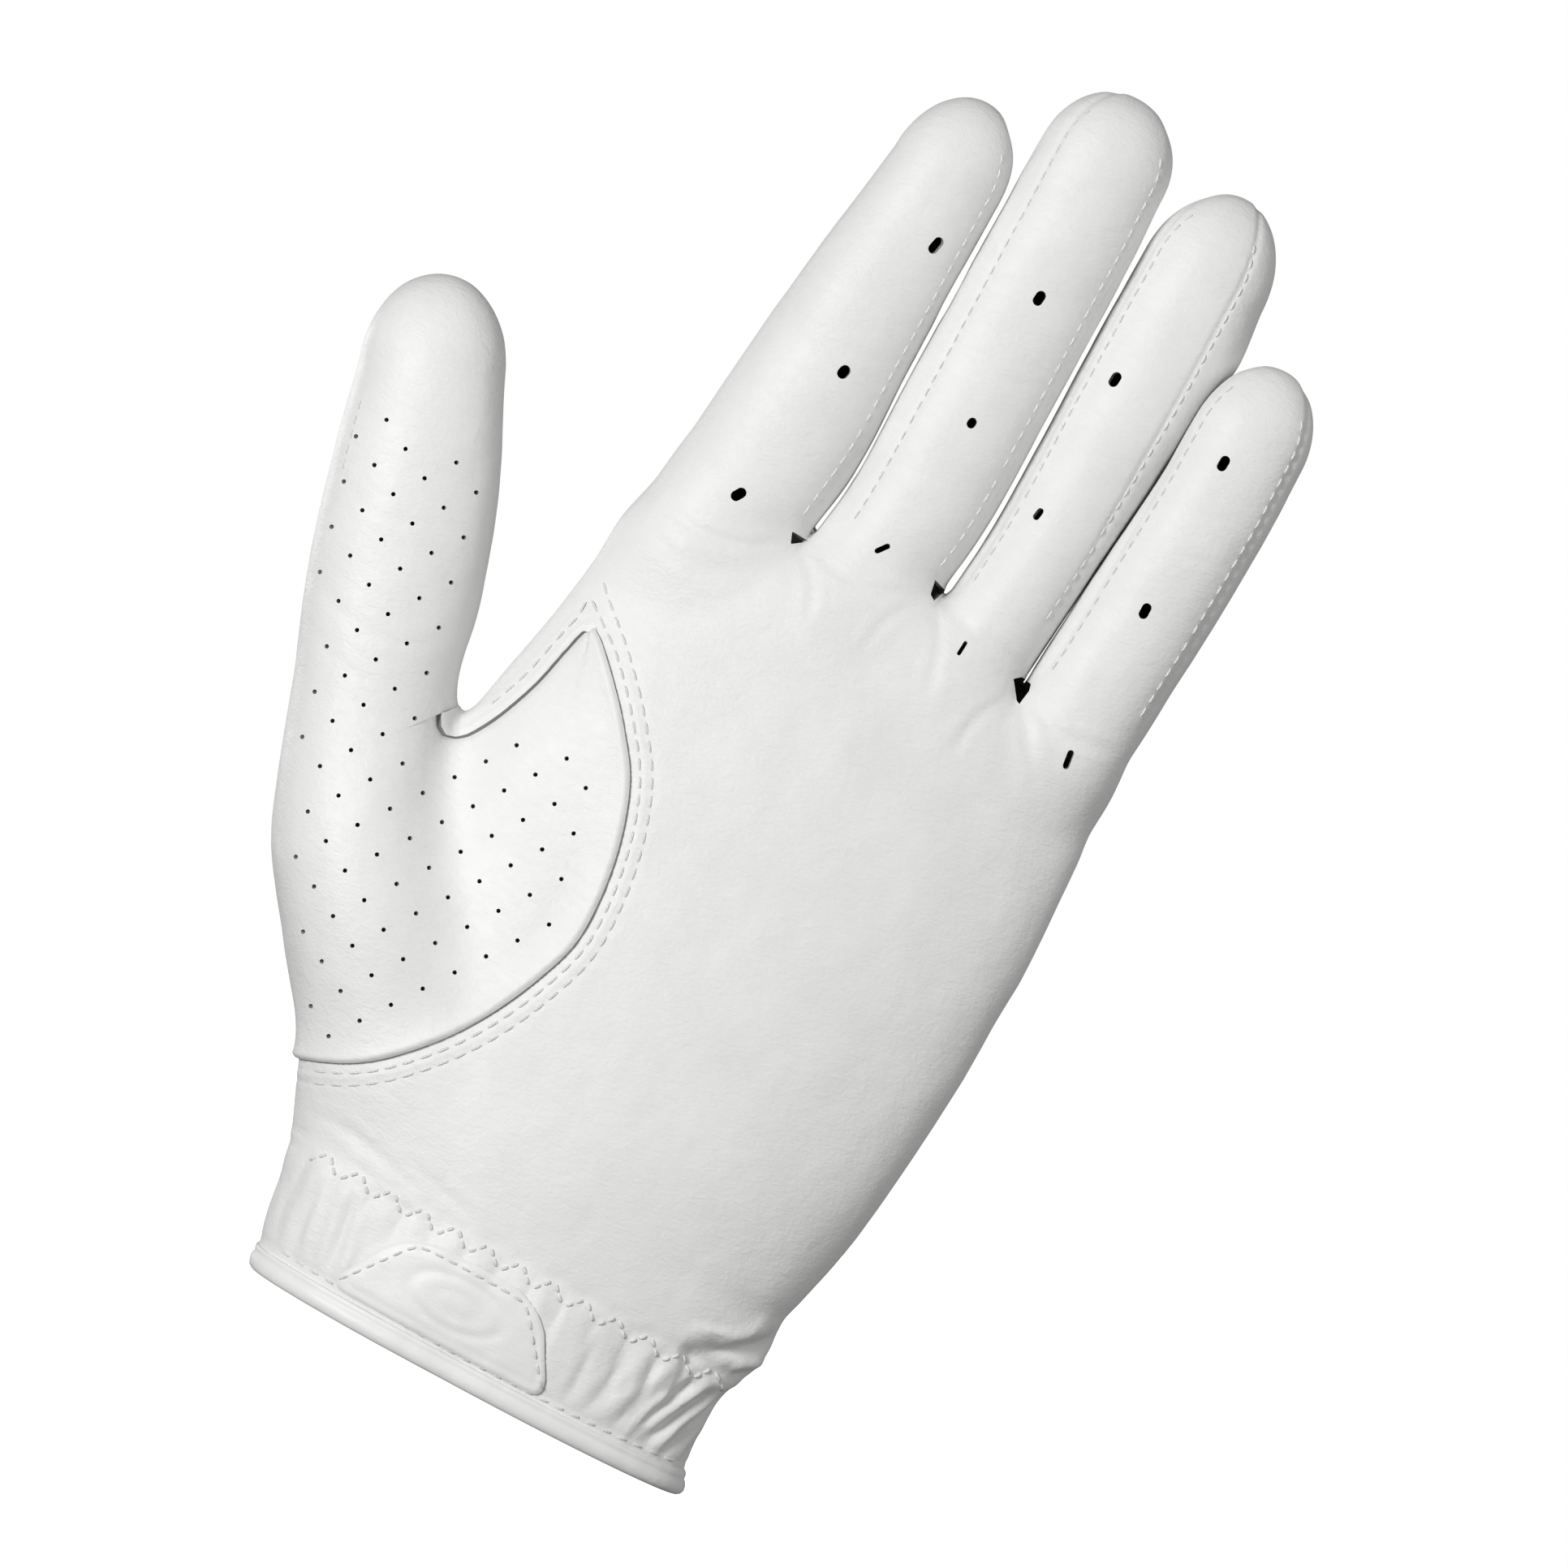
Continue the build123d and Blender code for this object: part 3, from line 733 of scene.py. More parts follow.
def near_line(line, x, z, reach=9.0):
    """Distance from (x, z) to a polyline, and where along it from 0 to 1. Beyond reach both are rough."""
    x, z = np.atleast_1d(x), np.atleast_1d(z)
    low, high = line.min(axis=0) - reach, line.max(axis=0) + reach
    box = (x > low[0]) & (x < high[0]) & (z > low[1]) & (z < high[1])
    if not box.all():
        distance, where = np.full(len(x), reach), np.ones(len(x))
        if box.any():
            distance[box], where[box] = near_line(line, x[box], z[box], reach)
        return distance, where
    best = np.full(np.shape(x), 1e9)
    where = np.zeros(np.shape(x))
    count = len(line) - 1
    for i in range(count):
        ax, az = line[i]
        dx, dz = line[i + 1] - line[i]
        t = np.clip(((x - ax) * dx + (z - az) * dz) / (dx * dx + dz * dz + 1e-12), 0, 1)
        d = (x - ax - t * dx) ** 2 + (z - az - t * dz) ** 2
        closer = d < best
        best = np.where(closer, d, best)
        where = np.where(closer, (i + t) / count, where)
    return np.sqrt(best), where


def inside(polygon, x, z):
    """True where (x, z) lies in a closed polygon."""
    out = np.zeros(np.shape(x), bool)
    for (ax, az), (bx, bz) in zip(polygon, np.roll(polygon, -1, axis=0)):
        crosses = (az > z) != (bz > z)
        with np.errstate(divide="ignore", invalid="ignore"):
            out ^= crosses & (x < (bx - ax) * (z - az) / (bz - az) + ax)
    return out


# edge of the perforated panel on the palm: up the index side, over its peak and down to the wrist
PANEL_UP = [(-51.8, 95.0), (-51.1, 90.0), (-49.9, 86.0), (-48.2, 84.3), (-46.2, 85.2), (-44.4, 87.6),
            (-42.3, 91.5), (-40.0, 97.5), (-38.6, 103.5), (-37.5, 107.7), (-36.5, 108.8)]
PANEL_ARC = [(-36.5, 108.8), (-34.4, 107.7), (-29.6, 103.0), (-25.0, 97.7), (-20.2, 90.6), (-16.9, 79.9),
             (-16.0, 68.0), (-18.2, 59.8), (-22.6, 50.6), (-28.2, 42.8), (-35.6, 35.8), (-44.6, 31.2),
             (-52.0, 28.6)]
PANEL_LINE = np.vstack([curve(PANEL_UP, 1.5), curve(PANEL_ARC, 1.2)[1:]])
PANEL_PEAK = len(curve(PANEL_UP, 1.5)) / (len(PANEL_LINE) - 1)
PANEL_SHAPE = np.vstack([PANEL_LINE, [(-100, 20), (-100, 130), (-60, 125)]])


def panel_side(x, z):
    """Distance from the panel's edge, negative on the panel."""
    d = near_line(PANEL_LINE, x, z)[0]
    return np.where(inside(PANEL_SHAPE, x, z), -d, d)


SLIT_TOP = span("slit_binding")[1][2] - 2.4
SLIT_HALF_LOW = 5.0
SLIT_HALF_HIGH = 1.5
HEM = 4.9                # height of the stitches above the binding
ROW_NEAR = 1.5
ROW_FAR = 3.3
def panel_under(x, z):
    """1 where the panel goes under the palm leather, along the index side, and 0 where it lies over it."""
    return 1 - step(near_line(PANEL_LINE, x, z)[1], PANEL_PEAK - 0.02, PANEL_PEAK)


SEAM_Y = 1.0             # the seams between palm side and back run a little behind the middle


def side_seam(co):
    """Positive on the back of the hand."""
    return co[:, 1] - SEAM_Y


def slit_side(co):
    """Distance from the slit in the back of the wrist, negative in it."""
    x, z = co[:, 0], co[:, 2]
    half = np.interp(z, [RIM, SLIT_TOP], [SLIT_HALF_LOW, SLIT_HALF_HIGH])
    end = np.hypot(x, np.maximum(z - SLIT_TOP, 0)) - half
    return np.where(z > SLIT_TOP, end, np.abs(x) - half)


# ---------------------------------------------------------------- folds
# each fold: points on the palm side (x, z), its half width and its depth; a negative depth is a ridge
FOLDS = [
    # under the fingers
    ([(-38.5, 131.5), (-31, 129.0), (-22, 130.4), (-16.5, 134.0)], 0.80, 0.21),
    ([(-36, 125.5), (-27, 124.0), (-19, 127.5)], 1.04, 0.11),
    ([(-14.8, 134.0), (-10.5, 130.0), (-8.5, 124.5)], 0.72, 0.16),
    ([(-14.2, 135.0), (-7, 133.2), (0, 134.0), (6.0, 137.0)], 0.80, 0.15),
    ([(5.6, 136.0), (2.0, 131.0), (0.5, 124.0)], 0.72, 0.15),
    ([(7.4, 136.2), (10.6, 130.5), (12.6, 122.5)], 0.72, 0.17),
    ([(7.0, 137.6), (14.0, 135.0), (22.6, 133.8)], 0.80, 0.15),
    ([(23.6, 129.6), (20.6, 124.0), (19.6, 117.0)], 0.80, 0.18),
    ([(25.4, 129.4), (29.6, 123.5), (33.4, 119.0)], 0.80, 0.20),
    ([(25.6, 130.6), (33.0, 127.6), (42.0, 129.4)], 0.80, 0.17),
    # across the fingers
    ([(-36.2, 165.0), (-28, 162.8), (-20, 163.4), (-13.0, 166.0)], 0.63, 0.070),
    ([(-35.0, 171.5), (-28, 170.0), (-21, 171.2)], 0.56, 0.042),
    ([(-11.0, 172.5), (-4, 170.2), (3, 170.8), (8.2, 173.5)], 0.63, 0.056),
    ([(-9.5, 179.0), (-2, 177.4), (5.0, 178.6)], 0.56, 0.035),
    ([(10.4, 169.0), (17, 166.6), (24.0, 168.4)], 0.63, 0.056),
    ([(28.6, 162.0), (35, 159.6), (44.0, 161.8)], 0.63, 0.070),
    ([(29.6, 168.0), (36, 166.8), (44.5, 168.6)], 0.56, 0.042),
    # thumb
    ([(-78.0, 97.0), (-69, 92.6), (-60, 93.4), (-53.0, 98.0)], 0.88, 0.077),
    ([(-76.0, 90.0), (-66, 86.0), (-56, 87.6)], 0.88, 0.056),
    ([(-82.6, 112.5), (-74, 108.6), (-65, 110.6), (-58.0, 114.0)], 0.72, 0.049),
    # wrist, little-finger side: the palm hangs over it, and folds run down to the binding
    ([(39.0, 29.0), (36.0, 25.2), (31.0, 21.8), (26.0, 19.2)], 1.45, 1.5),
    ([(38.4, 22.6), (34.0, 20.0), (29.0, 18.0)], 1.0, 0.85),
    ([(36.6, 19.0), (33.4, 11.0), (31.0, 4.4)], 0.8, 0.8),
    ([(33.6, 18.0), (30.6, 11.0), (27.6, 4.4)], 0.85, 0.85),
    ([(31.0, 18.6), (27.8, 11.6), (25.6, 4.4)], 0.9, 0.7),
    ([(27.8, 18.6), (25.4, 11.0), (23.8, 4.4)], 0.9, 0.55),
    ([(23.4, 18.8), (24.0, 11.0), (22.2, 4.6)], 0.9, 0.5),
    ([(19.4, 17.2), (19.0, 10.0), (17.6, 5.0)], 0.9, 0.26),
    ([(14.2, 17.0), (14.6, 10.0), (14.4, 5.0)], 0.9, 0.24),
    # wrist, thumb side
    ([(-36.6, 17.4), (-36.0, 10.0), (-34.6, 4.8)], 0.9, 0.34),
    ([(-32.4, 18.2), (-32.4, 11.0), (-31.8, 4.8)], 0.9, 0.3),
    ([(-30.8, 20.8), (-29.6, 12.0), (-28.6, 4.8)], 0.8, 0.28),
    ([(-27.4, 18.4), (-26.4, 12.0), (-25.6, 5.4)], 0.8, 0.26),
    ([(-40.5, 25.0), (-32, 25.6), (-24, 24.0), (-16, 22.8)], 0.9, 0.16),
    ([(-26, 26.4), (-18, 25.0), (-8, 22.6)], 0.9, 0.12),
]
FOLD_LINES = [(curve(points, 2.0), width, depth) for points, width, depth in FOLDS]

PATCH_X = float(sum(span("cuff_patch")[k][0] for k in (0, 1)) / 2)
PATCH_LOW = float(span("cuff_patch")[0][2])
PATCH_HIGH = float(span("cuff_patch")[1][2])
PATCH_LOW_HALF = 18.4
PATCH_HIGH_HALF = 11.2
PATCH_CORNERS = (2.6, 5.8)   # radius of its lower and of its upper corners
ZIGZAG_LEFT = float(span("zigzag_stitching")[0][0])
ZIGZAG_RIGHT = float(span("zigzag_stitching")[1][0])
ZIGZAG_TEETH = 14
ZIGZAG_HALF = 1.45
WEB_HOLES = [
    [(-16.9, 135.5), (-14.3, 135.5), (-14.8, 134.8), (-16.2, 133.7)],
    [(5.4, 139.2), (8.0, 138.6), (7.3, 138.0), (6.7, 136.4), (5.8, 137.0)],
    [(23.6, 132.6), (25.5, 132.3), (25.7, 131.2), (25.2, 128.7), (24.6, 129.0), (22.6, 131.7)],
]


def pleats(co):
    """Gathers of the cuff below the zigzag."""
    x, z = co[:, 0], co[:, 2]
    warp = noise(co, (9, 40, 22), 3) * 1.6
    tall = noise(np.stack([x + warp + 0.12 * (z - 12), co[:, 1] * 0.5, z * 0.12], axis=1), (2.5, 6, 2.0), 5)
    wide = noise(np.stack([x + warp, co[:, 1] * 0.5, z * 0.2], axis=1), (6.0, 9, 3.0), 9)
    band = step(z, BINDING_TOP - 1.0, BINDING_TOP + 6) * (1 - step(z, CUFF_TOP - 1.2, CUFF_TOP + 0.6))
    patch = 1 - 0.75 * step(-patch_side(x, z), -1.5, 2.0) * (co[:, 1] < 0)
    run = (x - ZIGZAG_LEFT) / (ZIGZAG_RIGHT - ZIGZAG_LEFT)
    drop = z - zigzag_middle(x)
    teeth = np.abs(np.cos(run * math.pi * ZIGZAG_TEETH)) * np.exp(-((drop + 2.4) / 2.6) ** 2)
    pull = np.exp(-((drop - 1.6) / 1.2) ** 2) * (0.6 + 0.4 * np.cos(run * 2 * math.pi * ZIGZAG_TEETH))
    row = np.exp(-((z - HEM) / 0.5) ** 2)
    side = np.where(co[:, 1] > 0, 0.4, 1.0)
    calm = 1 - 0.4 * np.exp(-((x - 18) / 8) ** 2)
    return (0.42 * tall + 0.4 * wide) * calm * band * patch + side * (0.34 * teeth - 0.16 * pull) - 0.1 * row


def zigzag_middle(x):
    """Height of the middle of the zigzag, which drops a little towards the little-finger side."""
    return np.interp(x, [-30, 5, 34], [19.9, 19.4, 18.3])


def patch_side(x, z):
    """Distance from the cuff patch's outline, negative on it."""
    half = np.interp(z, [PATCH_LOW, PATCH_HIGH], [PATCH_LOW_HALF, PATCH_HIGH_HALF])
    corner = np.interp(z, [PATCH_LOW, PATCH_HIGH], PATCH_CORNERS)
    dx = np.abs(x - PATCH_X) - half + corner
    dz = np.abs(z - (PATCH_LOW + PATCH_HIGH) / 2) - (PATCH_HIGH - PATCH_LOW) / 2 + corner
    return np.hypot(np.maximum(dx, 0), np.maximum(dz, 0)) + np.minimum(np.maximum(dx, dz), 0) - corner


def folds(co, base):
    """Height of the leather over the plain form: folds, gathers and soft hollows."""
    x, z = co[:, 0], co[:, 2]
    front = step(-base[:, 1], -0.15, 0.35)
    out = 0.22 * noise(co, (16, 16, 22), 1) + 0.1 * noise(co, (6.5, 7, 8.5), 2)
    out += 0.035 * noise(co, (2.4, 3, 3.4), 4)
    for line, width, depth in FOLD_LINES:
        low = line.min(axis=0) - 4 * width
        high = line.max(axis=0) + 4 * width
        box = np.flatnonzero((x > low[0]) & (x < high[0]) & (z > low[1]) & (z < high[1]))
        if not len(box):
            continue
        d, t = near_line(line, x[box], z[box])
        d = d * (1 + 0.25 * noise(co[box], (3, 3, 3), 11))
        fade = 1 - np.abs(2 * t - 1) ** 3
        profile = np.exp(-(d / width) ** 2) - 0.42 * np.exp(-((d - 2.1 * width) / (1.1 * width)) ** 2)
        out[box] -= depth * fade * profile * front[box]
    low = z < CUFF_TOP + 12
    out[low] += pleats(co[low])
    return out


def hand_height(co, base):
    """The folds, drawn in along the side seams."""
    out = folds(co, base)
    d = np.abs(co[:, 1] - SEAM_Y)
    return out - 0.3 * np.exp(-(d / 0.7) ** 2) * (co[:, 2] > BINDING_TOP)


PANEL_LIFT = 0.1         # how far the panel stands over the palm leather, and its turned edge over that
PANEL_LIP = 0.75
PANEL_TUCK = 1.8         # how far the panel runs under the palm leather, and the palm leather under it
PALM_TUCK = 2.2


def lip_profile(d, radius):
    """Rounded edge: 0 at the edge, 1 from radius inwards."""
    return np.sqrt(np.clip(1 - ((np.clip(d, 0, radius) - radius) / radius) ** 2, 0, 1))


def panel_height(co, base):
    """The panel's turned edge stands over the palm leather and sinks away from the edge."""
    x, z = co[:, 0], co[:, 2]
    d = -panel_side(x, z)
    under = panel_under(x, z)
    over = PANEL_LIP * lip_profile(d, 0.9) * np.exp(-np.maximum(d - 0.9, 0) / 2.2)
    return folds(co, base) + PANEL_LIFT + (1 - under) * over - under * 0.85 * np.exp(-np.maximum(d, 0) / 1.6)


def palm_height(co, base):
    """The hand's leather, pressed down beneath the panel's edge and along its stitches."""
    x, z = co[:, 0], co[:, 2]
    out = hand_height(co, base)
    front = base[:, 1] < 0
    d = panel_side(x[front], z[front])
    under = panel_under(x[front], z[front])
    sunk = np.where(d > 0, 0.32 * np.exp(-(d / 1.1) ** 2), 0.32) * (1 - under)
    sunk -= under * 0.35 * lip_profile(d, 0.8) * np.exp(-np.maximum(d - 0.8, 0) / 2.0)
    rows = 0.1 * np.exp(-((d - ROW_NEAR) / 0.5) ** 2) + 0.1 * np.exp(-((d - ROW_FAR) / 0.5) ** 2)
    out[front] -= sunk + rows
    return out


# ---------------------------------------------------------------- holes
# vents: place, half width, half height and lean in degrees
VENTS = {
    "index": [(-18.1, 183.2, 0.75, 1.4, 12), (-21.3, 160.0, 0.85, 1.1, 14), (-26.5, 136.5, 0.8, 1.25, 32)],
    "middle": [(-0.8, 183.5, 0.78, 1.2, 6), (-0.9, 162.3, 0.68, 0.85, 8), (-3.8, 139.5, 0.42, 1.25, 38)],
    "ring": [(14.9, 178.3, 0.75, 1.2, 4), (14.3, 155.1, 0.5, 1.0, 8), (13.7, 132.0, 0.3, 1.25, 4)],
    "little": [(35.0, 174.7, 0.75, 1.25, 2), (35.1, 149.8, 0.72, 1.25, 0), (35.5, 124.9, 0.5, 1.5, -8)],
}

# perforations: the two steps of their grid, one of its places, their radius and how high they run
PIN_A = np.array((4.6, -2.5))
PIN_B = np.array((1.6, -6.8))
PIN_START = np.array((-78.0, 121.5))
PIN_SIZE = 0.34
PIN_LOW, PIN_HIGH = 33.0, 122.5
NOWHERE = -9.0           # a value that no cut line reaches


def pin_places():
    """Places of the perforations on thumb and panel, on a skewed grid."""
    places = []
    for i in range(-2, 16):
        for j in range(-3, 18):
            x, z = PIN_START + i * PIN_A + j * PIN_B
            if z > PIN_HIGH or z < PIN_LOW:
                continue
            t, u = along_thumb(x, z)
            if t > 0:
                left, right = float(smooth(t, THUMB_LEFT)), float(smooth(t, THUMB_RIGHT))
                if not left + 2.2 < u < right - 2.4:
                    continue
                if float(panel_side(x, z)[0]) > 0 and x > -48:
                    continue
            else:
                left = float(smooth(t, THUMB_LEFT))
                if u < left + 2.5 or float(panel_side(x, z)[0]) > -3.8:
                    continue
            places.append((x, z))
    return np.array(places)


def pin_holes(places, grow=0.0):
    """Positive inside the perforations."""
    lattice_to_plane = np.stack([PIN_A, PIN_B], axis=1)
    plane_to_lattice = np.linalg.inv(lattice_to_plane)
    steps = np.rint((np.array(places) - PIN_START) @ plane_to_lattice.T).astype(int)
    low = steps.min(axis=0) - 1
    known = np.zeros(tuple(steps.max(axis=0) - low + 2), bool)
    known[tuple((steps - low).T)] = True

    def value(co):
        flat = co[:, [0, 2]] - PIN_START
        step_at = np.rint(flat @ plane_to_lattice.T).astype(int)
        index = np.clip(step_at - low, 0, np.array(known.shape) - 1)
        hit = known[tuple(index.T)] & (co[:, 1] < 0)
        away = np.linalg.norm(flat - step_at @ lattice_to_plane.T, axis=1)
        return np.where(hit, PIN_SIZE + grow - away, NOWHERE)
    return value


def slot_holes(slots, grow=0.0):
    """Positive inside round-ended vents (x, z, half width, half height, lean) on the palm side."""
    def value(co):
        out = np.full(len(co), NOWHERE)
        for x, z, a, b, lean in slots:
            c, s = math.cos(math.radians(lean)), math.sin(math.radians(lean))
            u = (co[:, 0] - x) * c - (co[:, 2] - z) * s
            v = (co[:, 0] - x) * s + (co[:, 2] - z) * c
            r = min(a, b)
            d = np.hypot(np.maximum(np.abs(u) - (a - r), 0), np.maximum(np.abs(v) - (b - r), 0))
            out = np.maximum(out, np.where(co[:, 1] < 0, r + grow - d, NOWHERE))
        return out
    return value


def web_holes(co):
    """Positive inside the small openings left at the webs."""
    out = np.full(len(co), NOWHERE)
    for shape_of in WEB_HOLES:
        line = np.array(shape_of + shape_of[:1])
        d = near_line(line, co[:, 0], co[:, 2], 3.0)[0]
        sided = np.where(inside(line[:-1], co[:, 0], co[:, 2]), d, -d)
        out = np.maximum(out, np.where(co[:, 1] < 0, sided, NOWHERE))
    return out


def near(value, reach):
    """Test for points less than reach outside a hole."""
    return lambda c: value(c) > -reach


# ---------------------------------------------------------------- the hand's skin
def nearest_cut(co):
    """Height above the cut of whichever finger is nearest."""
    x, y, z = co.T
    fields = np.stack([finger_field(name, x, y, z) for name in FINGERS])
    cuts = np.array([FINGERS[name]["cut"] for name in FINGERS])
    return z - cuts[fields.argmin(axis=0)]


def thumb_side(co):
    """Positive on the thumb's own part, past its turning line."""
    x, y, z = co.T
    turn = thumb_turn(co) - THUMB_CUT
    own = palm_field(x, y, z) - thumb_field(x, y, z)
    return np.minimum(turn, own)


def nearest_is(name, co):
    """True where a finger is nearer than the others."""
    x, y, z = co.T
    own = finger_field(name, x, y, z)
    return np.all([own <= finger_field(other, x, y, z) for other in NEIGHBOURS[name]], axis=0)


PIN_PLACES = pin_places()
hand = extract(hand_field, (-74, -23, RIM - 3), (51, 23, 144))
on_hand = pin_holes([p for p in PIN_PLACES if p @ THUMB_TURN[[0, 2]] < THUMB_CUT + 2])
palm_vents = slot_holes([v for name in VENTS for v in VENTS[name] if v[1] - v[3] < FINGERS[name]["cut"]])


def panel_side_of(co):
    """Distance of points from the panel's edge, negative on the panel."""
    return panel_side(co[:, 0], co[:, 2])


def panel_under_of(co):
    return panel_under(co[:, 0], co[:, 2])


def past_palm(co):
    """Positive where the palm leather ends beneath the panel."""
    end = -panel_side_of(co) - PALM_TUCK * (1 - panel_under_of(co))
    return np.where((co[:, 1] < SEAM_Y) & (co[:, 2] > CUFF_TOP), end, NOWHERE)


def in_slit(co):
    """Positive in the slit at the back of the wrist."""
    return np.where(co[:, 1] > 0, -slit_side(co), NOWHERE)


def near_thumb(co):
    """True where the thumb's turning line may cut the hand."""
    return (thumb_turn(co) > THUMB_CUT - 6) & (co[:, 0] < -38)


def above(co):
    return co[:, 2] > CUFF_TOP


def front(co):
    return co[:, 1] < SEAM_Y


hand.refine(lambda c: (np.abs(panel_side_of(c)) < 2.6) & (c[:, 1] < 0))
hand.refine(lambda c: (c[:, 2] < CUFF_TOP + 10) | ((np.abs(c[:, 1] - SEAM_Y) < 1.4)))
hand.refine(near(web_holes, 1.0))
hand.refine(near(palm_vents, 0.8))
hand.clip(lambda co: RIM + 0.4 - co[:, 2])
panel = hand.pick(lambda c: (c[:, 1] < 6) & (panel_side_of(c) < 3.0) & (c[:, 2] > CUFF_TOP - 4))
panel.refine(near(on_hand, 0.5), 2)
shape(hand, hand_field, palm_height)
shape(panel, hand_field, panel_height)
hand.clip(nearest_cut, lambda co: co[:, 2] > 125)
hand.clip(thumb_side, near_thumb)
hand.clip(web_holes)
hand.clip(palm_vents)
panel.clip(thumb_side, near_thumb)
panel.clip(on_hand)
hand.cut(lambda co: co[:, 2] - CUFF_TOP)
hand.cut(side_seam)
panel.clip(side_seam)
panel.clip(lambda co: CUFF_TOP - co[:, 2])
panel.clip(lambda co: panel_side_of(co) - PANEL_TUCK * panel_under_of(co))
hand.clip(past_palm)
hand.clip(in_slit)


def add_piece(name, skin, materials, body, nodes, thickness=LEATHER):
    """A leather piece that rides on one body and stands for the given nodes."""
    obj = leather_piece(name, skin, materials, thickness)
    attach(obj, body)
    for node in nodes:
        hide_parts(node)
    return obj


LEATHER_SIDES = (LEATHER_MAT, FLESH_SIDE_SHADE_MAT)
add_piece("palm", hand.pick(lambda c: above(c) & front(c)), LEATHER_SIDES, "root",
          ["palm_leather"])
add_piece("back", hand.pick(lambda c: above(c) & ~front(c)), LEATHER_SIDES, "root",
          ["back_leather"])
add_piece("cuff_palm", hand.pick(lambda c: ~above(c) & front(c)), LEATHER_SIDES, "root",
          ["cuff_palm_leather"])
add_piece("cuff_back", hand.pick(lambda c: ~above(c) & ~front(c)), LEATHER_SIDES, "root",
          ["cuff_back_leather"])
add_piece("panel", panel, (PANEL_MAT, FLESH_SIDE_SHADE_MAT), "root", ["thumb_panel"])

# ---------------------------------------------------------------- fingers
# where the seams of the side strips run on the palm side: (height, x); None has no seam
SEAMS = {
    "index": (None, [(137, -15.6), (143, -15.0), (151, -13.9), (162, -13.5), (207, -13.3)]),
    "middle": ([(139, -9.7), (145, -9.4), (190, -9.2), (207, -9.2)],
               [(139, 5.8), (146, 7.0), (156, 7.5), (166, 7.7), (207, 7.8)]),
    "ring": ([(139, 9.4), (150, 10.1), (180, 10.2), (200, 10.6)],
             [(131, 22.3), (137, 22.6), (142, 23.2), (148, 23.8), (161, 24.2), (180, 24.7), (200, 25.0)]),
    "little": ([(133, 26.1), (139, 26.8), (146, 27.3), (157, 27.7), (180, 28.3)],
               [(133, 42.8), (150, 43.9), (165, 44.5), (180, 44.4)]),
}


def seam_x(name, side, z):
    """Place of a seam across the finger, drawn in where the fingertip narrows."""
    f = FINGERS[name]
    middle = (smooth(z, f["left"]) + smooth(z, f["right"])) / 2
    rise = np.clip((z - f["dome"]) / (f["tip"] - f["dome"]), 0, 1)
    return middle + (smooth(z, SEAMS[name][side]) - middle) * np.sqrt(1 - 0.9 * rise ** 2)


def seam_value(name, side):
    """Distance past a finger's side seam, positive on the strip between the fingers."""
    sign = -1 if side == 0 else 1
    return lambda co: sign * (co[:, 0] - seam_x(name, side, co[:, 2]))


def finger_height(name):
    """Height of a finger's leather: its folds, drawn in along the seams."""
    shift = FINGERS[name]["shift"]

    def height(co, base):
        out = folds(co, base)
        z = co[:, 2]
        fade = step(z, FINGERS[name]["cut"] - 1, FINGERS[name]["cut"] + 4)
        for side in (0, 1):
            if SEAMS[name][side] is not None:
                d = seam_value(name, side)(co)
                out -= 0.24 * fade * np.exp(-(d / 0.5) ** 2)
        d = np.abs(co[:, 1] - smooth(z, shift) - SEAM_Y)
        out -= 0.3 * fade * np.exp(-(d / 0.6) ** 2)
        return out
    return height


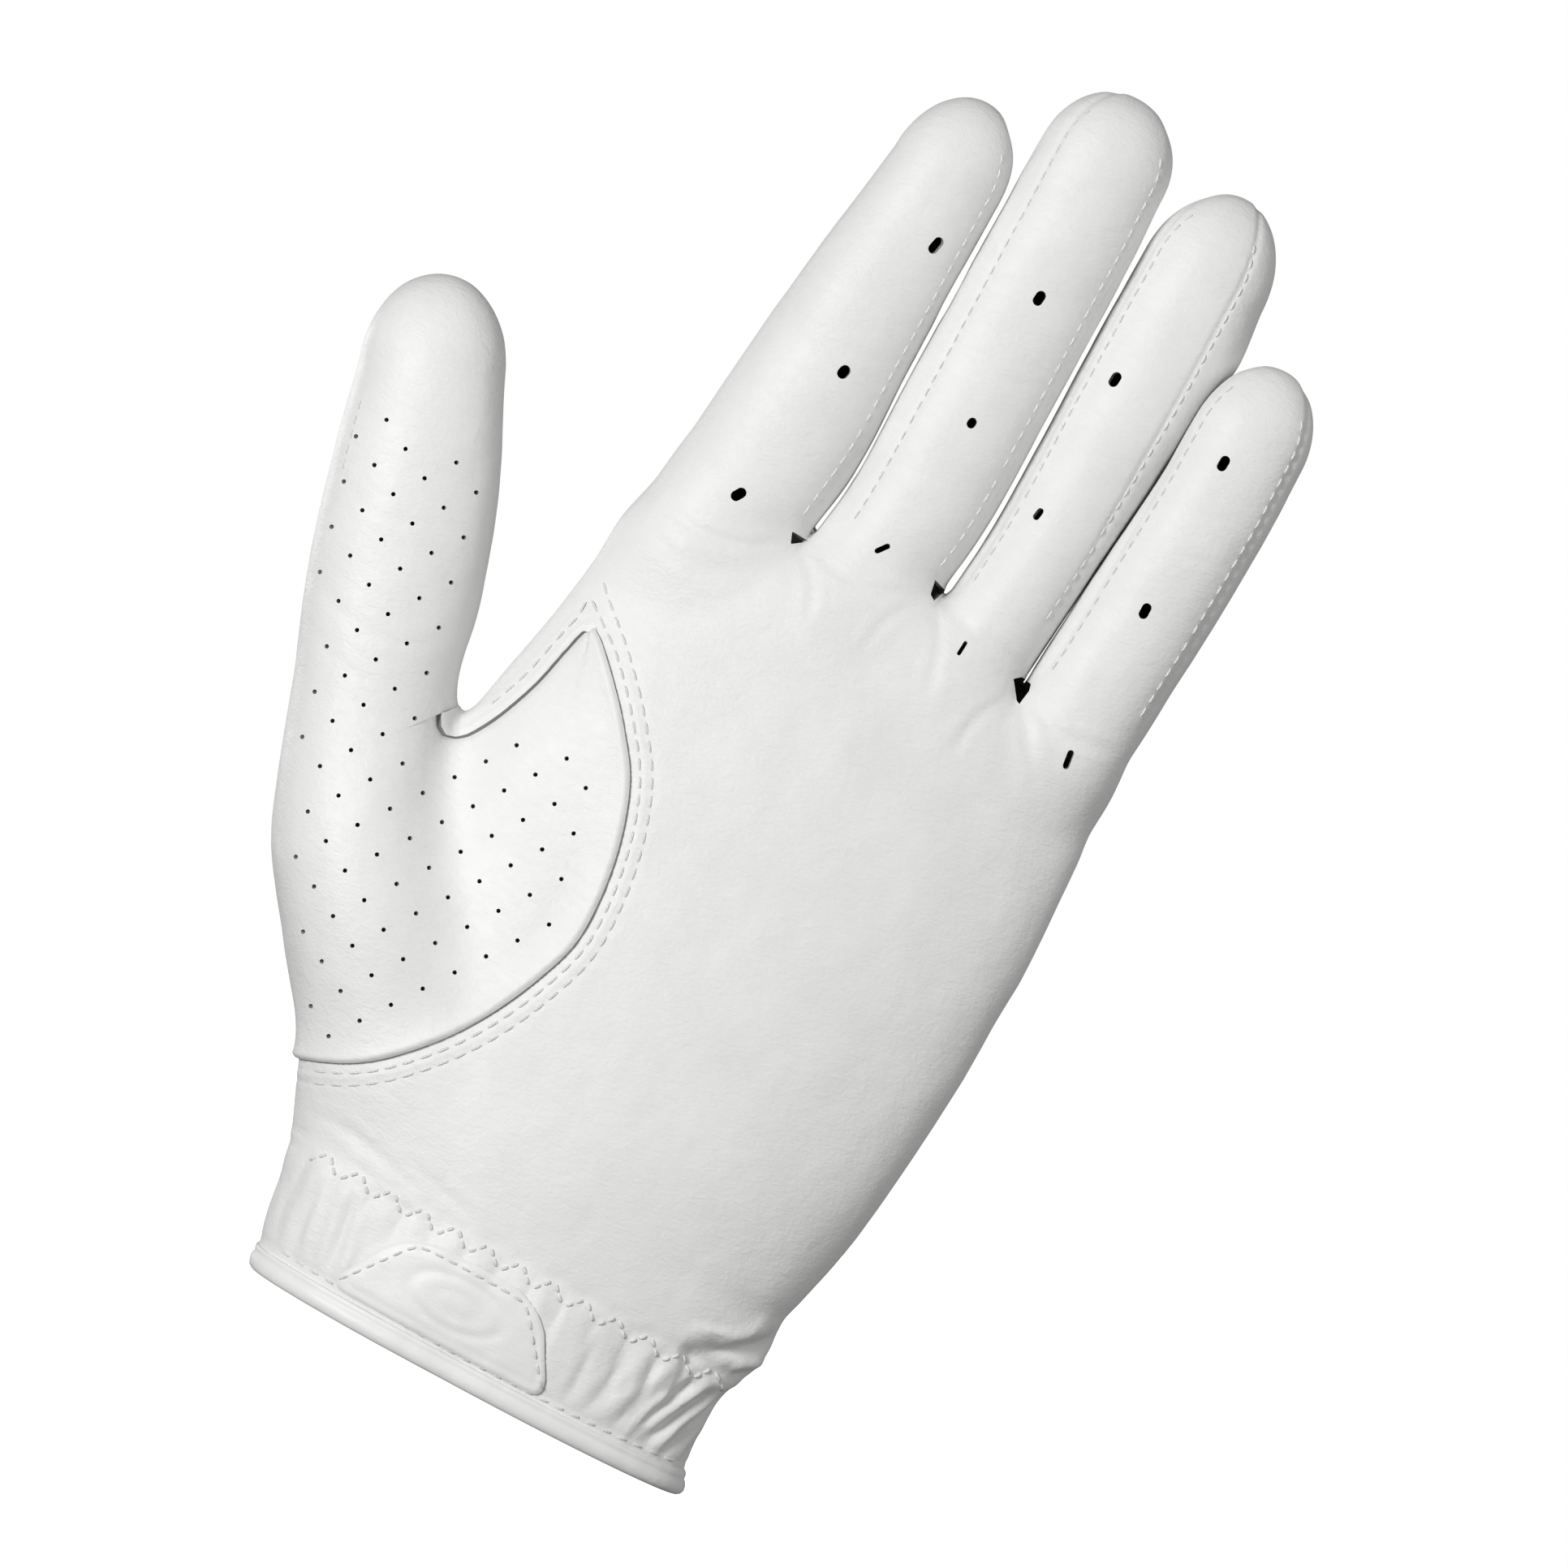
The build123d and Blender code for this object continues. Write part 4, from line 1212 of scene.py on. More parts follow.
FINGER_VOXEL = 0.56
BEND_HALF = 9.5          # half of the stretch round a finger's lower joint that BLENDS records
BEND_OVER = 12.0         # how far past its middle joint the stretch recorded in BLENDS runs
BLENDS = {}
for name, f in FINGERS.items():
    field = whole_finger(name)
    low = (smooth(130.0, f["left"]) - 2, -14, f["cut"] - 5)
    high = (max(v for _, v in f["right"]) + 3, 15, f["tip"] + 2)
    skin = extract(field, low, high, FINGER_VOXEL)
    seams = [seam_value(name, side) for side in (0, 1) if SEAMS[name][side] is not None]
    vents = slot_holes([v for v in VENTS[name] if v[1] + v[3] > f["cut"]])
    skin.refine(lambda c: np.min([np.abs(s(c)) for s in seams], axis=0) < 1.3)
    skin.refine(near(vents, 1.0))
    skin = skin.pick(lambda c: nearest_is(name, c))
    shape(skin, field, finger_height(name))
    skin.clip(lambda co: f["cut"] - co[:, 2])
    skin.cut(lambda co: co[:, 2] - f["split"])
    skin.clip(vents)
    split_y = lambda co: co[:, 1] - smooth(co[:, 2], f["shift"]) - SEAM_Y
    for s in seams:
        skin.cut(s)
    skin.cut(split_y)
    on_strip = lambda c: np.max([s(c) for s in seams], axis=0) > 0
    for half in ("lower", "upper"):
        in_half = (lambda c: c[:, 2] < f["split"]) if half == "lower" else (lambda c: c[:, 2] > f["split"])
        joint = f["base"] if half == "lower" else f["middle"]
        a, b = ("root", f"{name}_lower") if half == "lower" else (f"{name}_lower", f"{name}_upper")
        start = max(joint[2] - BEND_HALF, f["cut"]) if half == "lower" else f["split"]
        end = min(joint[2] + BEND_HALF, f["split"]) if half == "lower" else joint[2] + BEND_OVER
        BLENDS[name, half] = (a, b, (0, 0, start * MM), (0, 0, end * MM))
        for kind in ("palm", "back", "sides"):
            if kind == "sides":
                chosen = skin.pick(lambda c: in_half(c) & on_strip(c))
                nodes = [f"{name}_{half}_fourchettes"]
            elif kind == "palm":
                chosen = skin.pick(lambda c: in_half(c) & ~on_strip(c) & (split_y(c) < 0))
                crease = "base" if half == "lower" else "middle"
                nodes = [f"{name}_{half}_palm_leather", f"{name}_{crease}_crease"]
            else:
                chosen = skin.pick(lambda c: in_half(c) & ~on_strip(c) & (split_y(c) > 0))
                nodes = [f"{name}_{half}_back_leather"]
            obj = leather_piece(f"{name}_{half}_{kind}", chosen, LEATHER_SIDES)
            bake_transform(obj)
            for node in nodes:
                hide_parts(node)

# ---------------------------------------------------------------- thumb
thumb = extract(whole_thumb, (-93, -21, 50), (-42, 20, 152), 0.58)
thumb_pins = pin_holes([p for p in PIN_PLACES if p @ THUMB_TURN[[0, 2]] > THUMB_CUT - 2])
thumb.refine(lambda c: np.abs(c[:, 1] - SEAM_Y) < 1.3)
thumb = thumb.pick(lambda c: (thumb_turn(c) > THUMB_CUT - 5)
                   & (palm_field(*c.T) > thumb_field(*c.T)))
thumb.refine(near(thumb_pins, 0.5), 2)


def thumb_height(co, base):
    """The thumb's leather: its folds, its side seams and the end of the panel's turned edge."""
    x, z = co[:, 0], co[:, 2]
    d = np.abs(co[:, 1] - SEAM_Y)
    out = folds(co, base) - 0.3 * np.exp(-(d / 0.6) ** 2)
    # next to the crotch the panel's lip runs out onto the thumb
    e = np.clip(-panel_side(x, z), 0, 40)
    over = (1 - panel_under(x, z)) * PANEL_LIP * lip_profile(e, 0.9) * np.exp(-np.maximum(e - 0.9, 0) / 2.2)
    lift = np.where((e > 0) & (co[:, 1] < SEAM_Y), PANEL_LIFT + over, 0.0)
    return out + lift * (1 - step(thumb_turn(co), THUMB_CUT, THUMB_CUT + 9))


shape(thumb, whole_thumb, thumb_height)
thumb.clip(lambda co: -thumb_side(co), lambda co: thumb_turn(co) < THUMB_CUT + 6)
thumb.clip(thumb_pins)


def past_split(co):
    """Distance past the line between the thumb's lower and upper part."""
    return along_thumb(co[:, 0], co[:, 2])[0] - THUMB_SPLIT


thumb.cut(past_split)
thumb.cut(side_seam)
AXIS = np.array((-math.sin(THUMB_LEAN), 0, math.cos(THUMB_LEAN)))
# each half of the thumb: the bodies on either side of it, and a start and an end point along it
THUMB_ZONES = {
    "lower": ("root", "thumb_lower", THUMB_TURN * THUMB_CUT, THUMB_TURN * (THUMB_CUT + 15)),
    "upper": ("thumb_lower", "thumb_upper", THUMB_AT + AXIS * THUMB_SPLIT,
              THUMB_AT + AXIS * (THUMB_SPLIT + 20)),
}
for half, (a, b, start, end) in THUMB_ZONES.items():
    upper = half == "upper"
    for side in ("front", "back"):
        behind = side == "back"
        own = thumb.pick(lambda c: ((past_split(c) > 0) == upper) & ((side_seam(c) > 0) == behind))
        obj = leather_piece(f"thumb_{half}_{side}", own, (PANEL_MAT, FLESH_SIDE_SHADE_MAT))
        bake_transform(obj)
        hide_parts(f"thumb_{half}_{side}_leather")
        if side == "front":
            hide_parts("thumb_base_crease" if half == "lower" else "thumb_middle_crease")

# ---------------------------------------------------------------- layers laid on the hand
def surface_y(x, z, side):
    """Where the plain hand's surface is at (x, z), on the palm side (-1) or the back (1)."""
    y = np.full(np.shape(x), 15.0 * side)
    for _ in range(14):
        f = hand_field(x, y, z)
        slope = (hand_field(x, y + 0.05 * side, z) - f) / 0.05
        y = y - side * np.clip(f / np.maximum(slope, 0.1), -3, 3)
    return y


def rounded_box(low, high, left_radius, right_radius):
    """Signed distance to a rectangle in (x, z) whose left and right corners are rounded."""
    mid = [(low[k] + high[k]) / 2 for k in (0, 1)]
    half = [(high[k] - low[k]) / 2 for k in (0, 1)]

    def value(x, z):
        r = np.where(x < mid[0], left_radius, right_radius)
        dx = np.abs(x - mid[0]) - half[0] + r
        dz = np.abs(z - mid[1]) - half[1] + r
        return np.hypot(np.maximum(dx, 0), np.maximum(dz, 0)) + np.minimum(np.maximum(dx, dz), 0) - r
    return value


def layer(low, high, side, outline, height, pitch=0.6):
    """Skin laid over palm or back inside an outline."""
    xs = np.arange(low[0], high[0] + pitch, pitch)
    zs = np.arange(low[1], high[1] + pitch, pitch)
    x, z = [a.ravel() for a in np.meshgrid(xs, zs, indexing="ij")]
    co = np.stack([x, surface_y(x, z, side), z], axis=1)
    rows = len(zs)
    faces = []
    for i in range(len(xs) - 1):
        for j in range(rows - 1):
            a = i * rows + j
            face = (a, a + rows, a + rows + 1, a + 1)
            faces.append(face if side < 0 else (face[0], face[3], face[2], face[1]))
    skin = Skin(co, faces)
    shape(skin, hand_field, height)
    return skin.clip(lambda c: outline(c[:, 0], c[:, 2]))


def plate(name, body, node, slot, materials, side, low, high, top, thickness, corners=(0.6, 0.6), lip=0.5,
          follow=0.0, lining=0.0):
    """A sewn layer with rounded edges; top is the height of its face over the plain hand."""
    outline = rounded_box(low, high, *corners)

    def height(co, base):
        d = -outline(co[:, 0], co[:, 2])
        wave = 0.12 * noise(co, (9, 9, 9), 21) + 0.05 * noise(co, (3.2, 3.2, 3.2), 22)
        return top - lip * (1 - lip_profile(d, max(lip, 0.05))) + follow * folds(co, base) + lining * wave
    skin = layer(low, high, side, outline, height)
    return add_piece(name, skin, materials, body, [node] if node else [], thickness)


def strap(node):
    """x and z limits of a CAD layer on the back."""
    low, high = span(node)
    return (low[0], low[2]), (high[0], high[2])


BACK_SIDE, PALM_SIDE = 1, -1
TAB_TOP = 3.96           # height of the closed tab over the plain back
plate("tab_leather", "tab", "closure_tab", "tab_leather", (TRIM_MAT, FLESH_SIDE_SHADE_MAT), BACK_SIDE,
      *strap("closure_tab"), TAB_TOP, 1.15, (8.0, 0.4), 0.6, lining=1.0)
plate("tab_inside", "tab", "tab_lining", "lining", (LINING_MAT, LINING_MAT), BACK_SIDE,
      *strap("tab_lining"), 2.74, 0.4, (6.0, 0.4), 0.1)
plate("hooks", "tab", "hook_patch", "hook_pile", (HOOK_MAT, HOOK_MAT), BACK_SIDE,
      *strap("hook_patch"), 2.32, 0.9, (2, 2), 0.15)
plate("loops", "root", "loop_patch", "loop_pile", (PILE_MAT, PILE_MAT), BACK_SIDE,
      *strap("loop_patch"), 1.15, 1.0, (2, 2), 0.4)
plate("anchor", "root", "tab_anchor", "tab_leather", (TRIM_MAT, TRIM_MAT), BACK_SIDE,
      *strap("tab_anchor"), TAB_TOP - 0.1, 3.9, (0.4, 2.0), 0.8, lining=0.6)
ELASTIC_LEFT, ELASTIC_RIGHT = -33, 32
low, high = span("wrist_elastic")
plate("elastic", "root", "wrist_elastic", "elastic", (ELASTIC_MAT, ELASTIC_MAT), PALM_SIDE,
      (ELASTIC_LEFT, low[2]), (ELASTIC_RIGHT, high[2]), -LEATHER - 0.1, 0.7, (0.3, 0.3), 0.1, follow=1.0)


FINE_PITCH = 0.42        # grid of the finer layers


def patch_height(co, base):
    """The cuff patch, with two plain oval rings pressed into it and a line for its stitches."""
    x, z = co[:, 0], co[:, 2]
    d = -patch_side(x, z)
    ring = np.hypot((x - PATCH_X) / 7.6, (z - (PATCH_LOW + PATCH_HIGH) / 2) / 3.7)
    emboss = 0.2 * np.exp(-((ring - 1) * 6.0) ** 2) + 0.12 * np.exp(-((ring - 0.45) * 5.0) ** 2)
    row = 0.12 * np.exp(-((d - 1.3) / 0.45) ** 2)
    return (0.8 - 0.55 * (1 - lip_profile(d, 0.6)) + 0.55 * folds(co, base) - emboss - row
            + 0.06 * noise(co, (3, 3, 3), 31))


patch = layer((PATCH_X - PATCH_LOW_HALF - 1, PATCH_LOW - 1), (PATCH_X + PATCH_LOW_HALF + 1, PATCH_HIGH + 1),
              PALM_SIDE, patch_side, patch_height, FINE_PITCH)
add_piece("patch", patch, (TRIM_MAT, FLESH_SIDE_SHADE_MAT), "root", ["cuff_patch"], 0.8)

# bound edge of the slit: a folded strip on each side and round its top
BOUND_WIDTH = 2.4


def bound_height(co, base):
    """Rounded strip along the slit's edge."""
    d = slit_side(co)
    t = np.clip(d / BOUND_WIDTH, 0, 1)
    return 0.15 + 0.55 * np.sqrt(np.clip(4 * t * (1 - t), 0, 1)) + 0.5 * folds(co, base)


def bound_shape(x, z):
    """Negative on the strip beside the slit."""
    d = slit_side(np.stack([x, z * 0, z], axis=1))
    return np.abs(d - BOUND_WIDTH / 2) - BOUND_WIDTH / 2


bound = layer((-9, RIM + 0.2), (9, SLIT_TOP + 5), BACK_SIDE, bound_shape, bound_height, 0.4)
add_piece("slit_edge", bound, (TRIM_MAT, TRIM_MAT), "root", ["slit_binding"], 1.5)

# ---------------------------------------------------------------- rolled binding of the rim
# its section, as (outwards, up): the roll, the step at its top where it is sewn down, and its inside
BINDING_PROFILE = [(-0.45, 0.0), (0.14, 0.05), (0.58, 0.36), (0.82, 0.9), (0.84, 1.5), (0.68, 2.05),
                   (0.42, 2.4), (0.34, 2.62), (0.4, 2.95), (0.34, 3.4), (0.06, 3.7), (-0.5, 3.6),
                   (-1.2, 3.6), (-1.5, 3.0), (-1.56, 1.8), (-1.45, 0.7), (-1.1, 0.14)]


BINDING_OUT = 0.18       # how much further out the whole profile lies


def rim_curve():
    """Points round the rim from one side of the slit to the other, with outward directions."""
    z = 2.0
    left, right = smooth(z, PALM_LEFT), smooth(z, PALM_RIGHT)
    turn = np.radians(np.linspace(90, -270, 2400))
    c, s = np.cos(turn), np.sin(turn)
    power = 2 / ROUND_RIGHT
    x = (left + right) / 2 + (right - left) / 2 * np.sign(c) * np.abs(c) ** power
    depth = np.where(s < 0, smooth(z, PALM_FRONT), smooth(z, PALM_BACK))
    y = depth * np.sign(s) * np.abs(s) ** power
    line = np.stack([x, y, np.full(len(x), z)], axis=1)
    for _ in range(6):
        g = gradient(hand_field, line)
        g[:, 2] = 0
        line = line - hand_field(*line.T)[:, None] * g / (g * g).sum(axis=1)[:, None]
    line = even(line[:, :2], 0.7)
    keep = ~((np.abs(line[:, 0]) < SLIT_HALF_LOW + 0.6) & (line[:, 1] > 0))
    return line[keep]


rim = rim_curve()
rim_at_seam = np.column_stack([rim, np.full(len(rim), 4.6)])
rings = []
for offset, z in BINDING_PROFILE:
    # each ring starts on the leather at its own height, and follows its gathers
    ring = np.column_stack([rim, np.full(len(rim), RIM + max(z, 0.8))])
    for _ in range(3):
        out = gradient(hand_field, ring)
        out[:, 2] = 0
        ring = ring - hand_field(*ring.T)[:, None] * out / (out * out).sum(axis=1)[:, None]
    out /= np.linalg.norm(out, axis=1)[:, None]
    swell = folds(ring, out) + 0.08 * noise(rim_at_seam, (2.6, 2.6, 2.6), 41)
    ring = ring + out * (offset + BINDING_OUT + swell)[:, None]
    ring[:, 2] = RIM + z
    rings.append(ring)
rings = np.stack(rings, axis=1)
n, m = rings.shape[:2]
faces = [(i * m + k, i * m + (k + 1) % m, (i + 1) * m + (k + 1) % m, (i + 1) * m + k)
         for i in range(n - 1) for k in range(m)]
faces += [tuple(range(m))[::-1], tuple((n - 1) * m + k for k in range(m))]
binding = new_object("binding", rings.reshape(-1, 3), faces, materials=(TRIM_MAT,))
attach(binding, "root")
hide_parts("cuff_binding")

# ---------------------------------------------------------------- stitches
THREAD = 0.24            # radius of the sewing thread
STITCH = 2.1             # length of a stitch
STITCH_PITCH = 2.75


def threads(name, ends, normals, radius=THREAD):
    """Mesh of stitches: ends is (count, 2, 3); each dips into the leather at both ends."""
    ends = np.asarray(ends)
    along = ends[:, 1] - ends[:, 0]
    length = np.linalg.norm(along, axis=1)[:, None]
    along = along / length
    across = np.cross(along, normals)
    across /= np.linalg.norm(across, axis=1)[:, None]
    up = np.cross(across, along)
    sides = 6
    # stations of a stitch: where along it, its girth and its lift
    stations = [(0.0, 0.45, -0.9), (0.1, 0.9, -0.1), (0.32, 1.0, 0.55), (0.68, 1.0, 0.55), (0.9, 0.9, -0.1),
                (1.0, 0.45, -0.9)]
    verts = []
    for t, girth, lift in stations:
        centre = ends[:, 0] + along * length * t + up * (radius * lift)
        for k in range(sides):
            a = 2 * math.pi * k / sides
            verts.append(centre + (across * math.cos(a) + up * math.sin(a)) * (radius * girth))
    count = len(ends)
    verts = np.stack(verts, axis=1).reshape(-1, 3)
    each = sides * len(stations)
    faces = []
    for i in range(count):
        o = i * each
        for r in range(len(stations) - 1):
            for k in range(sides):
                a, b = o + r * sides + k, o + r * sides + (k + 1) % sides
                faces.append((a, a + sides, b + sides, b))
        faces.append(tuple(o + k for k in range(sides)))
        faces.append(tuple(o + each - sides + k for k in range(sides))[::-1])
    return new_object(name, verts, faces, materials=(THREAD_MAT,))


def on_skin(co, field, height, lift=0.0):
    """Final place and normal of points that lie near a plain surface."""
    co = settle(field, co)
    base = gradient(field, co)
    base /= np.linalg.norm(base, axis=1)[:, None]
    return co + base * (height(co, base) + lift)[:, None], base


def sew(line, pitch=STITCH_PITCH, length=STITCH):
    """Stitch ends (count, 2, k) along a polyline."""
    fine = even(np.asarray(line, float), 0.25)
    run = np.concatenate([[0], np.cumsum(np.linalg.norm(np.diff(fine, axis=0), axis=1))])
    count = int((run[-1] - length) / pitch) + 1
    first = (run[-1] - (count - 1) * pitch - length) / 2 + pitch * np.arange(count)
    return np.stack([np.stack([np.interp(first + add, run, fine[:, k]) for k in range(fine.shape[1])], axis=1)
                     for add in (0, length)], axis=1)


def flat_rows(lines, side, height, field=hand_field, pitch=STITCH_PITCH, length=STITCH):
    """Stitches along lines given in (x, z), laid on one side of the hand."""
    ends = np.vstack([sew(line, pitch, length) for line in lines])
    x, z = ends[..., 0].ravel(), ends[..., 1].ravel()
    co = np.stack([x, surface_y(x, z, side), z], axis=1)
    pos, base = on_skin(co, field, height)
    return pos.reshape(-1, 2, 3), base.reshape(-1, 2, 3).mean(axis=1)


def beside(line, offset):
    """A polyline shifted sideways, to the left of its direction when offset is positive."""
    d = np.gradient(line, axis=0)
    d /= np.linalg.norm(d, axis=1)[:, None]
    return line + offset * np.stack([-d[:, 1], d[:, 0]], axis=1)


arc = curve(PANEL_ARC)
up_line = curve(PANEL_UP, 1.5)
near_row = np.vstack([[(-39.2, 112.8), (-37.2, 111.4)], beside(arc, ROW_NEAR)[2:]])
far_row = np.vstack([[(-39.0, 116.2), (-37.0, 114.2)], beside(arc, ROW_FAR)[2:]])
strip_row = np.vstack([beside(up_line, 1.9)[8:-1], [(-39.2, 112.8)]])
palm_rows = flat_rows([r[(r[:, 0] > -45.5)] for r in (near_row, far_row, strip_row)], PALM_SIDE, palm_height)

# the patch's stitches: up one slanted side, over both rounded corners and down the other
inset = 1.3
side_low, side_high = PATCH_LOW_HALF - 1.4, PATCH_HIGH_HALF - 1.3
half_outline = [(side_low, PATCH_LOW + inset), (side_high + 1.9, PATCH_HIGH - inset - 3.6),
                (side_high - 0.3, PATCH_HIGH - inset - 1.0), (side_high - 3.2, PATCH_HIGH - inset)]
patch_outline = curve([(PATCH_X - x, z) for x, z in half_outline]
                      + [(PATCH_X + x, z) for x, z in reversed(half_outline)], 0.6)
patch_rows = flat_rows([patch_outline], PALM_SIDE, patch_height, pitch=2.2, length=1.6)

hem_x = np.linspace(-33.8, 33.8, 80)
hem_z = np.interp(hem_x, [-34, -2, 34], [HEM, HEM - 0.7, HEM - 0.3])
hem_rows = flat_rows([np.stack([hem_x, hem_z], axis=1)], PALM_SIDE, folds, pitch=2.6, length=1.6)
back_hem = [np.stack([np.linspace(a, b, 30), np.full(30, HEM)], axis=1) for a, b in ((-33, -8.5), (8.5, 33))]
back_rows = flat_rows(back_hem, BACK_SIDE, folds)
slit_rows = flat_rows([[(-SLIT_HALF_LOW - 3.4, 5), (-SLIT_HALF_HIGH - 3.6, SLIT_TOP), (0, SLIT_TOP + 5.3),
                        (SLIT_HALF_HIGH + 3.6, SLIT_TOP), (SLIT_HALF_LOW + 3.4, 5)]], BACK_SIDE, folds)


def sewn(name, rows, radius=THREAD):
    """One mesh of all the stitches in some rows."""
    ends = np.vstack([r[0] for r in rows])
    normals = np.vstack([r[1] for r in rows])
    return threads(name, ends, normals, radius)


hand_thread = sewn("hand_thread", [palm_rows, patch_rows, hem_rows, back_rows, slit_rows], 0.21)
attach(hand_thread, "root")

# zigzag over the elastic: two stitches on each leg
teeth = []
for k in range(2 * ZIGZAG_TEETH):
    step_x = (ZIGZAG_RIGHT - ZIGZAG_LEFT) / (2 * ZIGZAG_TEETH)
    x0 = ZIGZAG_LEFT + k * step_x
    x1 = x0 + step_x
    if not -37.4 < x0 < 34.5:
        continue
    sign = -1 if k % 2 else 1
    teeth.append([(x0, zigzag_middle(x0) + sign * ZIGZAG_HALF), (x1, zigzag_middle(x1) - sign * ZIGZAG_HALF)])
zigzag_rows = flat_rows(teeth, PALM_SIDE, hand_height, pitch=1.55, length=1.3)
zigzag = sewn("zigzag", [zigzag_rows], 0.26)
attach(zigzag, "root")
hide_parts("zigzag_stitching")

def tab_top(co, base):
    return np.full(len(co), TAB_TOP)


def anchor_top(co, base):
    return tab_top(co, base) - 0.1


# closure tab: a row round its edge and a box on the anchor
tab_low, tab_high = strap("closure_tab")
anchor_low, anchor_high = strap("tab_anchor")
edge = curve([(tab_high[0] - 2, tab_low[1] + 2), (-17, tab_low[1] + 2), (-21, tab_low[1] + 4.2),
              (-23, tab_low[1] + 9), (-23, tab_high[1] - 9), (-21, tab_high[1] - 4.2), (-17, tab_high[1] - 2),
              (tab_high[0] - 2, tab_high[1] - 2)], 0.8)
tab_thread = sewn("tab_thread", [flat_rows([edge], BACK_SIDE, tab_top)], 0.22)
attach(tab_thread, "tab")
box_line = [(anchor_low[0] + 1.6, anchor_low[1] + 2), (anchor_high[0] - 1.6, anchor_low[1] + 2),
            (anchor_high[0] - 1.6, anchor_high[1] - 2), (anchor_low[0] + 1.6, anchor_high[1] - 2),
            (anchor_low[0] + 1.6, anchor_low[1] + 2)]
anchor_thread = sewn("anchor_thread", [flat_rows([box_line], BACK_SIDE, anchor_top)], 0.22)
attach(anchor_thread, "root")

# seams of the fingers and of the thumb's tip
SEAM_STEP = 0.5
THUMB_SEAM_LOW = 37.0    # run of the seam beside the thumb's tip, and its distance from the thumb's edge
THUMB_SEAM_HIGH = 50.0
THUMB_SEAM_INSET = 2.4


def seam_stitches(name, co, field, height_of, a, b, start, end):
    """Stitches along a seam, baked into place; co lies near the plain surface."""
    co, base = on_skin(co, field, height_of)
    ends = sew(co, 2.3, 1.7)
    mids = ends.mean(axis=1)
    normals = base[np.abs(co[None, :, 2] - mids[:, 2:3]).argmin(axis=1)]
    obj = threads(name, ends, normals, 0.17)
    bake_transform(obj)
    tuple(start)
    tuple(end)


def thumb_tip_seam():
    """Points of the seam beside the thumb's tip, on the palm side of its plain surface."""
    t = np.arange(THUMB_SEAM_LOW, THUMB_SEAM_HIGH, SEAM_STEP)
    u = smooth(t, THUMB_LEFT) + THUMB_SEAM_INSET
    co = THUMB_AT + t[:, None] * AXIS + u[:, None] * np.array((AXIS[2], 0, -AXIS[0]))
    depth = np.linspace(-25, 0, 251)
    x, y, z = np.broadcast_arrays(co[:, :1], depth, co[:, 2:])
    in_thumb = whole_thumb(x.ravel(), y.ravel(), z.ravel()).reshape(x.shape) < 0
    co[:, 1] = depth[in_thumb.argmax(axis=1)]
    return co[in_thumb.any(axis=1)]


a, b, start, end = THUMB_ZONES["upper"]
seam_stitches("thumb_upper_thread", thumb_tip_seam(), whole_thumb, thumb_height, a, b,
              tuple(start * MM), tuple(end * MM))

for name, f in FINGERS.items():
    for half in ("lower", "upper"):
        z_low = f["cut"] + 1.5 if half == "lower" else f["split"] + 0.3
        z_high = f["split"] if half == "lower" else f["dome"] + 0.62 * (f["tip"] - f["dome"])
        for side in (0, 1):
            if SEAMS[name][side] is None:
                continue
            z = np.arange(z_low, z_high, SEAM_STEP)
            for face in (PALM_SIDE, BACK_SIDE):
                y = smooth(z, f["shift"]) + face * smooth(z, f["depth"]) * 0.8
                tag = ("palm" if face < 0 else "back") + ("_left" if side == 0 else "_right")
                seam_stitches(f"{name}_{half}_thread_{tag}", np.column_stack([seam_x(name, side, z), y, z]),
                              whole_finger(name), finger_height(name), *BLENDS[name, half])

# ---------------------------------------------------------------- floor, light and camera
floor_mesh = bpy.data.meshes.new("floor")
FLOOR_RADIUS, FLOOR_SIDES, FLOOR_DOWN = 0.9, 96, -0.0004
ring = [(FLOOR_RADIUS * math.cos(a), FLOOR_RADIUS * math.sin(a), FLOOR_DOWN)
        for a in np.linspace(0, 2 * math.pi, FLOOR_SIDES, endpoint=False)]
floor_mesh.from_pydata(ring, [], [tuple(range(FLOOR_SIDES))])
floor = bpy.data.objects.new("floor", floor_mesh)
bpy.context.scene.collection.objects.link(floor)
floor_mat, _, _, floor_bsdf = shader("pale_floor")
floor_bsdf.inputs["Base Color"].default_value = (0.95, 0.95, 0.95, 1)
floor_bsdf.inputs["Roughness"].default_value = 0.9
floor_bsdf.inputs["Emission Color"].default_value = (1, 1, 1, 1)
floor_bsdf.inputs["Emission Strength"].default_value = 1.1
floor_mesh.materials.append(floor_mat)
# the floor is bright to the camera but throws no light up at the glove
floor.visible_diffuse = False
floor.visible_glossy = False

